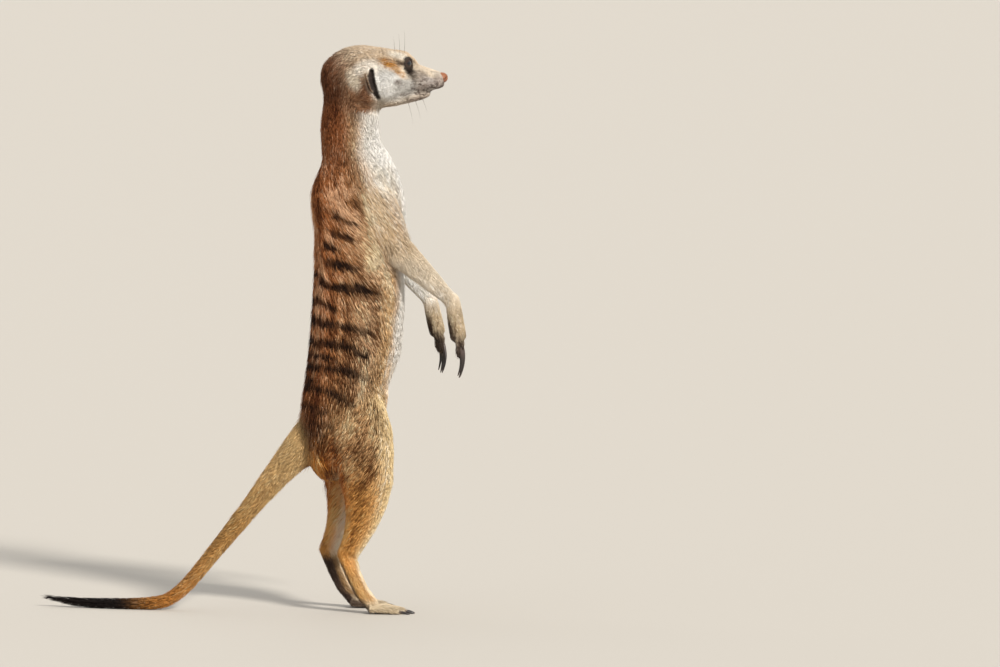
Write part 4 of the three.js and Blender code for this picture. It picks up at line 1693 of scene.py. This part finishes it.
    def lifted(self, tree: BVHTree, places: np.ndarray, normal: np.ndarray, height: np.ndarray) -> np.ndarray:
        """Places moved to their own height over the nearest skin.

        Args:
            tree: The skin, in body millimetres.
            places: The places.
            normal: The skin's direction at each place's root.
            height: How high each one goes.

        Returns:
            The moved places.
        """
        result = np.empty_like(places)
        for row, place in enumerate(places):
            spot, facing, _, _ = tree.find_nearest(Vector(place))
            if facing.dot(Vector(normal[row])) < 0.2:
                result[row] = place + normal[row] * height[row]
            else:
                result[row] = spot + facing * height[row]
        return result

    def grizzled(self, colours: np.ndarray, tone: np.ndarray) -> np.ndarray:
        """Colours darkened or drawn towards cream, less so where the coat is white or black.

        Args:
            colours: Linear colours.
            tone: How far to go, less than zero for darker.

        Returns:
            The new colours.
        """
        light = colours.mean(axis=1)
        shy = 1.0 - 0.72 * smooth_step(0.3, 0.7, light)
        dark = smooth_step(0.05, 0.85, np.clip(-tone, 0, 1.2) * shy)
        pale = np.clip(tone, 0, 1.2) * smooth_step(0.012, 0.10, light)
        colours = colours * (1.0 - dark[:, None] * np.array([0.74, 0.82, 0.88]))
        clean = smooth_step(0.45, 0.75, light)[:, None]
        cream = linear("f6e4c8") * (1 - clean) + linear("fbfaf8") * clean
        warm = 0.5 * cream + 0.5 * np.minimum(colours * 2.6, 0.88)
        return colours + (warm - colours) * (0.62 * smooth_step(0.1, 0.95, pale))[:, None]

    def join(
        self, name: str, tufts: dict[str, np.ndarray], corners: np.ndarray, uvs: np.ndarray
    ) -> bpy.types.Mesh:
        """Joins tufts into one mesh with their colours and their baking map.

        Args:
            name: The piece's name.
            tufts: The piece's tufts.
            corners: One tuft's triangles.
            uvs: The triangles' places in a tuft's own square.

        Returns:
            The mesh in frame metres.
        """
        count, each, _ = tufts["shape"].shape
        mesh = bpy.data.meshes.new(name)
        mesh.vertices.add(count * each)
        mesh.vertices.foreach_set("co", self.stance.to_frame(tufts["shape"]).ravel())
        loops = (corners.ravel()[None, :] + np.arange(count)[:, None] * each).ravel()
        mesh.loops.add(len(loops))
        mesh.loops.foreach_set("vertex_index", loops.astype(np.int32))
        mesh.polygons.add(count * len(corners))
        mesh.polygons.foreach_set("loop_start", np.arange(0, len(loops), 3, dtype=np.int32))
        mesh.update(calc_edges=True)
        mesh.shade_smooth()
        tinted(mesh, tufts["shade"].reshape(-1, 3))
        places = self.unwrapped(tufts["root"], tufts["region"])
        square = places[:, None, :] + (uvs[None] - 0.5) * self.patch
        mesh.uv_layers.new(name="OFBake").uv.foreach_set("vector", square.ravel().astype(np.float32))
        return mesh

    def unwrapped(self, roots: np.ndarray, regions: np.ndarray) -> np.ndarray:
        """Each root's place on an unwrap of the skin: one strip for each region, angle by length.

        Args:
            roots: The roots of one piece's tufts.
            regions: Their region numbers.

        Returns:
            Map places between 0 and 1.
        """
        places = np.empty((len(roots), 2))
        kinds = np.unique(regions)
        for strip, kind in enumerate(kinds):
            here = regions == kind
            points = roots[here]
            centre = (points.max(axis=0) + points.min(axis=0)) / 2
            if among(kind, Region.HEAD, *TRUNK):
                centre[0] = 0.0
            axis = np.linalg.svd(points - points.mean(axis=0), full_matrices=False)[2][0]
            local = points - centre
            along = local @ axis
            first = unit(np.cross(axis, at(1, 0, 0)))
            angle = np.arctan2(local @ np.cross(axis, first), local @ first)
            spot = np.column_stack([angle, along])
            spot = (spot - spot.min(axis=0)) / np.maximum(np.ptp(spot, axis=0), 1e-6)
            spot = 0.004 + spot * 0.992
            spot[:, 1] = (strip + spot[:, 1]) / len(kinds)
            places[here] = np.clip(spot, 0.003, 0.997)
        return places


# ---- eyes, nose, claws and whiskers ----


@dataclass
class EyeBall:
    """A dark, wet eye with a bulging cornea and a pupil drawn out sideways."""

    eye: Eye
    stance: Stance
    iris: float = math.radians(40)
    pupil_long: float = math.radians(23)
    pupil_high: float = math.radians(14)
    bulge: float = 0.3

    def build(self, finish: bpy.types.Material) -> None:
        """Makes the ball where the eye node stands.

        Args:
            finish: The wet eye's material.
        """
        word = "left" if self.eye.hand > 0 else "right"
        work = bmesh.new()
        bmesh.ops.create_uvsphere(work, u_segments=64, v_segments=48, radius=1.0)
        gaze = corners_of(work)
        theta = np.arccos(np.clip(gaze[:, 2], -1, 1))
        radius = self.eye.radius + self.bulge * smooth_step(self.iris * 1.25, 0.0, theta)
        points = self.eye.centre + (gaze * radius[:, None]) @ self.eye.axes
        place_corners(work, self.stance.to_frame(points))
        bmesh.ops.recalc_face_normals(work, faces=work.faces)
        mesh = finished(work, f"eyeball_{word}")
        pupil = np.hypot(theta * gaze[:, 0] / self.pupil_long, theta * gaze[:, 1] / self.pupil_high)
        pupil /= np.maximum(np.hypot(gaze[:, 0], gaze[:, 1]), 1e-6)
        iris = smooth_step(self.iris * 1.0, self.iris * 0.8, theta)
        dark = plain("140c09", len(theta))
        tinted(mesh, layered(dark, ("2c190f", iris), ("060404", smooth_step(1.12, 0.92, pupil))))
        piece = new_piece(f"eyeball_{word}", mesh, finish)
        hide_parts(f"eye_{word}")


@dataclass
class Nose:
    """The bare nose pad, with two comma-shaped nostrils and a groove below."""

    stance: Stance
    forward: float = 48.3
    up: float = 291.0
    half_side: float = 3.9
    half_height: float = 3.1
    reach: float = 4.0
    nostril_side: float = 2.1
    slit_side: float = 3.3
    nostril_depth: float = 1.5
    groove: float = 0.45

    def build(self, finish: bpy.types.Material) -> None:
        """Makes the pad in the nose node's place.

        Args:
            finish: The nose skin's material.
        """
        work = bmesh.new()
        bmesh.ops.create_uvsphere(work, u_segments=72, v_segments=56, radius=1.0)
        ball = corners_of(work)
        ball = np.sign(ball) * np.abs(ball) ** np.array([0.86, 0.9, 0.86])
        side, ahead, rise = ball[:, 0], ball[:, 2], ball[:, 1]
        rise = rise - 0.12 * np.abs(side) ** 2
        high = rise * self.half_height * (1 - 0.12 * (rise < 0) * ahead)
        points = np.column_stack([side * self.half_side, -ahead * self.reach, high])
        points = at(0, self.forward, self.up) + points
        above_middle = points[:, 2] - self.up
        hollow = np.zeros(len(points))
        for hand in HANDS.values():
            out = points[:, 0] * hand
            across = (out - self.nostril_side) / 0.95
            above = (above_middle + 0.1 + 0.25 * across) / 0.75
            round_hole = np.exp(-(across**2 + above**2) * 1.1)
            tail = np.exp(-(((out - self.slit_side) / 0.9) ** 2 + ((above_middle + 0.75) / 0.38) ** 2))
            hollow = np.maximum(hollow, np.maximum(round_hole, 0.75 * tail))
        front = smooth_step(0.1, 0.5, ahead)
        points[:, 1] += hollow * front * self.nostril_depth
        groove = np.exp(-((points[:, 0] / 0.32) ** 2)) * smooth_step(0.6, -0.6, above_middle)
        points[:, 1] += groove * front * self.groove
        place_corners(work, self.stance.to_frame(points))
        bmesh.ops.recalc_face_normals(work, faces=work.faces)
        mesh = finished(work, "nose_pad")
        colours = layered(
            plain("7d4826", len(points)),
            # painted light and shade: the pad darker underneath and lighter over the top
            ("663a27", smooth_step(0.2, 1.4, -above_middle) * 0.6),
            ("8b5431", smooth_step(1.0, 2.6, above_middle) * 0.6),
            ("24120d", smooth_step(0.35, 0.85, hollow) * front),
            ("5f3524", groove * front * 0.7),
        )
        tinted(mesh, colours)
        piece = new_piece("nose_pad", mesh, finish)
        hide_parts("nose")


@dataclass
class Claws:
    """The long curved claws of the forefeet and the blunter ones of the hind feet."""

    stance: Stance
    swell: float = 0.22

    def build(self, finish: bpy.types.Material) -> None:
        """Rounds each claw node into one piece that stands for them all.

        Args:
            finish: The horn's material.
        """
        names = sorted(name for name in bpy.data.objects.keys() if name.startswith("claw_"))
        work = bmesh.new()
        for name in names:
            part = self.rounded(bpy.data.objects[name].data)
            work.from_mesh(part)
            bpy.data.meshes.remove(part)
        mesh = finished(work, "claws")
        piece = new_piece("claws", mesh, finish)
        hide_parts(*names)

    def rounded(self, source: bpy.types.Mesh) -> bpy.types.Mesh:
        """One claw, subdivided, a little swollen and coloured from root to tip.

        Args:
            source: The claw node's mesh.

        Returns:
            The finished claw.
        """
        work = bmesh.new()
        work.from_mesh(source)
        bmesh.ops.remove_doubles(work, verts=work.verts, dist=1e-6)
        bmesh.ops.recalc_face_normals(work, faces=work.faces)
        bmesh.ops.dissolve_limit(work, angle_limit=0.02, verts=work.verts, edges=work.edges)
        swell(work, self.swell)
        claw = put("work", finished(work, "work"))
        smooth = claw.modifiers.new("round", "SUBSURF")
        smooth.levels = 2
        smooth.render_levels = 2
        mesh = settled(claw)
        points = self.stance.to_body(points_of(mesh))
        points[:, 2] = np.maximum(points[:, 2], 0.02)
        move_points(mesh, self.stance.to_frame(points))
        share, _ = along_claw(points)
        root = plain("3d2e28", len(points))
        shaft, tip = smooth_step(0.1, 0.5, share), smooth_step(0.8, 1.0, share) * 0.6
        tinted(mesh, layered(root, ("1c1513", shaft), ("4a3b34", tip)))
        return mesh


@dataclass(frozen=True)
class WhiskerRow:
    """A row of whiskers, from its back one to its front one."""

    back: tuple[float, float]  # forward and up
    front: tuple[float, float]
    count: int
    length: tuple[float, float]
    toward: tuple[float, float, float]  # out, forward and up
    sag: float = 0.12


@dataclass
class Whiskers:
    """Tapered whiskers on lips, brows, cheeks and chin."""

    stance: Stance
    thick: float = 0.052
    steps: int = 8
    rows: tuple[WhiskerRow, ...] = (
        WhiskerRow((35.5, 287.0), (43.0, 286.6), 4, (21, 12), (0.85, -0.35, -0.10)),
        WhiskerRow((36.5, 285.2), (44.0, 284.9), 4, (19, 10), (0.8, -0.25, -0.45)),
        WhiskerRow((38.0, 289.0), (44.0, 288.8), 3, (15, 10), (0.85, -0.3, 0.2)),
        WhiskerRow((23.5, 304.5), (28.5, 303.8), 3, (9, 14), (0.25, 0.05, 1.0), -0.05),
        WhiskerRow((30.0, 280.0), (38.0, 280.6), 3, (15, 10), (0.3, 0.35, -0.85), 0.0),
        WhiskerRow((25.0, 288.8), (26.5, 288.0), 2, (12, 10), (0.9, -0.4, -0.15)),
    )

    def build(self, skin: BVHTree, finish: bpy.types.Material) -> None:
        """Sweeps every whisker from its root in the skin.

        Args:
            skin: The skin, in frame metres.
            finish: The whiskers' material.
        """
        work = bmesh.new()
        for hand in HANDS.values():
            for row in self.rows:
                for step in range(row.count):
                    share = step / max(row.count - 1, 1)
                    self.sweep(work, skin, row, share, hand)
        mesh = finished(work, "whiskers")
        piece = new_piece("whiskers", mesh, finish)

    def sweep(
        self, work: bmesh.types.BMesh, skin: BVHTree, row: WhiskerRow, share: float, hand: float
    ) -> None:
        """Extrudes one whisker ring by ring along its curve.

        Args:
            work: The working mesh, which is added to.
            skin: The skin, in frame metres.
            row: The whisker's row.
            share: Its place in the row, from 0 at the back to 1 at the front.
            hand: 1 for the left side, -1 for the right.
        """
        forward = row.back[0] + share * (row.front[0] - row.back[0])
        up = row.back[1] + share * (row.front[1] - row.back[1])
        side = 14.0 if row.toward[0] > 0.5 else 6.0 if row.toward[2] > 0 else 4.0
        start = Vector(self.stance.to_frame(at(hand * side, forward, up)))
        root, facing, _, _ = skin.find_nearest(start)
        root = self.stance.to_body(np.array(root - facing * 0.4 * MM))
        length = row.length[0] + share * (row.length[1] - row.length[0])
        run = unit(at(hand * row.toward[0], row.toward[1] + 0.12 * (share - 0.5), row.toward[2]))
        ring = bmesh.ops.create_circle(work, segments=5, radius=1.0)["verts"]
        edges = list(dict.fromkeys(edge for corner in ring for edge in corner.link_edges))
        turned = np.array(run_frame(run))
        flat = [np.array((corner.co.x, corner.co.y)) for corner in ring]
        for step in range(self.steps + 1):
            along = step / self.steps
            if step:
                ring, edges = next_ring(work, edges)
            middle = root + run * length * along - at(0, 0, 1) * row.sag * length * along**2
            middle = middle + at(0, -0.1, 0) * length * along**2
            thick = self.thick * (1.05 - along)
            for corner, spot in zip(ring, flat):
                corner.co = Vector(self.stance.to_frame(middle + (spot @ turned) * thick))


def run_frame(run: np.ndarray) -> tuple[np.ndarray, np.ndarray]:
    """Two directions square to a run and to each other."""
    first = unit(np.cross(run, at(0.3, 0.2, 0.9)))
    return first, np.cross(run, first)


# ---- finishes ----


def add_node(tree: bpy.types.NodeTree, kind: str, links: dict | None = None, **settings) -> bpy.types.Node:
    """Adds a node, sets it up and links it.

    Args:
        tree: The node tree.
        kind: The node's type.
        links: Input names or numbers, each with a value or with the socket that feeds it.
        **settings: The node's own properties.

    Returns:
        The new node.
    """
    made = tree.nodes.new(kind)
    for name, value in settings.items():
        setattr(made, name, value)
    for name, value in (links or {}).items():
        if isinstance(value, bpy.types.NodeSocket):
            tree.links.new(value, made.inputs[name])
        else:
            made.inputs[name].default_value = value
    return made


@dataclass(frozen=True)
class Finish:
    """A coloured surface with a fine relief, its colour read from the piece's tint.

    Attributes:
        name: The material's name.
        roughness: How matt it is.
        specular: The strength of its gloss, 0.5 for an IOR of 1.5.
        grain: The size of its relief, in millimetres.
        relief: How deep its relief reads.
        fleck: How far a fine pattern lightens and darkens its colour.
        sheen: How much the fuzz catches the light.
        gloss: A clear wet layer over it.
        tone: A colour in place of a tint.
        cells: Whether the relief is made of cells.
    """

    name: str
    roughness: float
    specular: float = 0.5
    grain: float = 0.5
    relief: float = 0.2
    fleck: float = 0.1
    sheen: float = 0.0
    gloss: float = 0.0
    tone: str | None = None
    cells: bool = False

    def make(self) -> bpy.types.Material:
        """Builds the material.

        Returns:
            The material.
        """
        material = bpy.data.materials.new(self.name)
        material.use_nodes = True
        tree = material.node_tree
        tree.nodes.clear()
        place = add_node(tree, "ShaderNodeTexCoord").outputs["Object"]
        scale = 1.0 / (self.grain * MM)
        if self.cells:
            pattern = add_node(tree, "ShaderNodeTexVoronoi", {"Vector": place, "Scale": scale})
            height = pattern.outputs["Distance"]
        else:
            pattern = add_node(tree, "ShaderNodeTexNoise", {"Vector": place, "Scale": scale, "Detail": 3.0})
            height = pattern.outputs["Fac"]
        if self.tone:
            colour = rgba(self.tone)[:3]
        else:
            colour = add_node(tree, "ShaderNodeAttribute", attribute_name="tint").outputs["Color"]
        low, high = 1.0 - self.fleck, 1.0 + self.fleck
        limits = {"Value": height, "From Min": 0.3, "From Max": 0.7, "To Min": low, "To Max": high}
        ranged = add_node(tree, "ShaderNodeMapRange", limits)
        factors = {0: colour, 1: ranged.outputs["Result"]}
        flecked = add_node(tree, "ShaderNodeVectorMath", factors, operation="MULTIPLY")
        relief = {"Height": height, "Strength": self.relief, "Distance": self.grain * MM * 0.5}
        bump = add_node(tree, "ShaderNodeBump", relief)
        shader = add_node(
            tree,
            "ShaderNodeBsdfPrincipled",
            {
                "Base Color": flecked.outputs["Vector"],
                "Normal": bump.outputs["Normal"],
                "Roughness": self.roughness,
                "Specular IOR Level": self.specular,
                "Sheen Weight": self.sheen,
                "Sheen Roughness": 0.4,
                "Coat Weight": self.gloss,
                "Coat Roughness": 0.03,
            },
        )
        add_node(tree, "ShaderNodeOutputMaterial", {"Surface": shader.outputs["BSDF"]})
        return material


# Guard hair: keratin, scaly on the surface, so its gloss is broad and soft.
FUR = Finish("guard_hair", roughness=0.6, specular=0.16, grain=0.35, relief=0.25, fleck=0.10)
# Hide under the coat: matt, with the stubble of the underfur as fine relief.
HIDE = Finish("furred_hide", roughness=0.75, specular=0.16, grain=0.55, relief=0.5, fleck=0.12)
# A live eye: tear film over a dark iris, so it mirrors the lights sharply.
WET_EYE = Finish("wet_eye", roughness=0.08, specular=0.3, grain=0.25, relief=0.02, fleck=0.15, gloss=0.6)
# Bare nose skin: pebbled, faintly moist.
NOSE_SKIN = Finish(
    "nose_leather", roughness=0.42, specular=0.5, grain=0.38, relief=0.5, fleck=0.10, gloss=0.08, cells=True
)
# Claw horn: dense keratin polished by digging.
HORN = Finish("claw_horn", roughness=0.34, specular=0.5, grain=0.7, relief=0.15, fleck=0.15)
# Whisker: a stiff translucent hair that reads dark brown.
WHISKER = Finish("whisker_hair", roughness=0.4, grain=0.5, relief=0.05, fleck=0.05, tone="4a3b33")
# A painted studio floor: pale, matt and even.
FLOOR = Finish("studio_floor", roughness=0.8, specular=0.2, grain=1.5, relief=0.02, fleck=0.01, tone="b9b4ac")


# ---- studio ----


@dataclass
class Studio:
    """The camera, the lights and the pale floor."""

    stance: Stance
    lens: float = 396.0
    distance: float = 6.0
    elevation: float = math.radians(3.5)
    aim: tuple[float, float, float] = (0.0, 80.7, 151.5)
    floor_size: float = 60.0

    def place_camera(self) -> None:
        """Sets the camera on the animal's right, a little above the floor."""
        data = bpy.data.cameras.new("camera")
        camera = put("camera", data)
        data.lens = self.lens
        data.sensor_width = 36.0
        data.clip_end = 100.0
        look = Vector((math.cos(self.elevation), 0.0, -math.sin(self.elevation)))
        camera.location = Vector(self.stance.to_frame(at(*self.aim))) - look * self.distance
        camera.rotation_euler = look.to_track_quat("-Z", "Y").to_euler()
        bpy.context.scene.camera = camera

    def light(
        self, name: str, place: tuple[float, float, float], wide: float, power: float, colour: str
    ) -> None:
        """Adds a broad, even light from one side.

        Args:
            name: The light's name.
            place: Where it comes from, as seen from the animal.
            wide: How wide it looks, in degrees.
            power: Its strength.
            colour: Its sRGB colour.
        """
        data = bpy.data.lights.new(name, "SUN")
        data.angle = math.radians(wide)
        data.energy = power
        data.color = tuple(linear(colour))
        lamp = put(name, data)
        lamp.location = Vector(place)
        lamp.rotation_euler = (-Vector(place)).to_track_quat("-Z", "Y").to_euler()

    def build(self) -> None:
        """Sets up the camera, the lights, the sky and the floor."""
        self.place_camera()
        self.light("key", (-1.75, -1.0, 1.15), 9.0, 4.8, "fffaf2")
        self.light("fill", (1.6, 0.6, 1.2), 60.0, 0.6, "f6f4f2")
        world = bpy.data.worlds.new("studio")
        bpy.context.scene.world = world
        world.use_nodes = True
        backdrop = world.node_tree.nodes["Background"]
        backdrop.inputs["Color"].default_value = rgba("eeedeb")
        backdrop.inputs["Strength"].default_value = 0.78
        bpy.context.scene.view_settings.view_transform = "Standard"
        work = bmesh.new()
        bmesh.ops.create_grid(work, x_segments=1, y_segments=1, size=self.floor_size / 2)
        mesh = bpy.data.meshes.new("floor")
        work.to_mesh(mesh)
        work.free()
        mesh.materials.append(FLOOR.make())
        put("floor", mesh)


# ---- the animal ----


def main() -> None:
    """Builds the meerkat: skin, coat, eyes, nose, claws and whiskers."""
    logging.basicConfig(level=logging.INFO, format="%(relativeCreated)d %(message)s")
    for start_piece in list(bpy.data.objects):
        bpy.data.objects.remove(start_piece)
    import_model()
    stance = Stance.from_frame()
    Studio(stance).build()

    skin = Skin(stance)
    mesh = skin.build()
    region = skin.regions_at(points_of(mesh))
    markings = Markings(skin, stance.to_body(points_of(mesh)), region)
    coat = Coat(skin, mesh, region, markings)
    # between the tufts the hide lies in their shade, less so under the white coat
    shaded = markings.detailed(coat.ground, coat.points, region)
    shaded *= 0.78 + 0.2 * smooth_step(0.45, 0.75, shaded.mean(axis=1))[:, None]
    tinted(mesh, shaded)
    mesh.shade_smooth()
    hide = new_piece("skin", mesh, HIDE.make())
    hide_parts(*FLESH, "ear_left", "ear_right")

    coat.grow(FUR.make())
    eye_finish = WET_EYE.make()
    for eye in skin.eyes:
        EyeBall(eye, stance).build(eye_finish)
    Nose(stance).build(NOSE_SKIN.make())
    Claws(stance).build(HORN.make())
    Whiskers(stance).build(searchable(points_of(mesh), mesh), WHISKER.make())


if __name__ == "__main__":
    main()
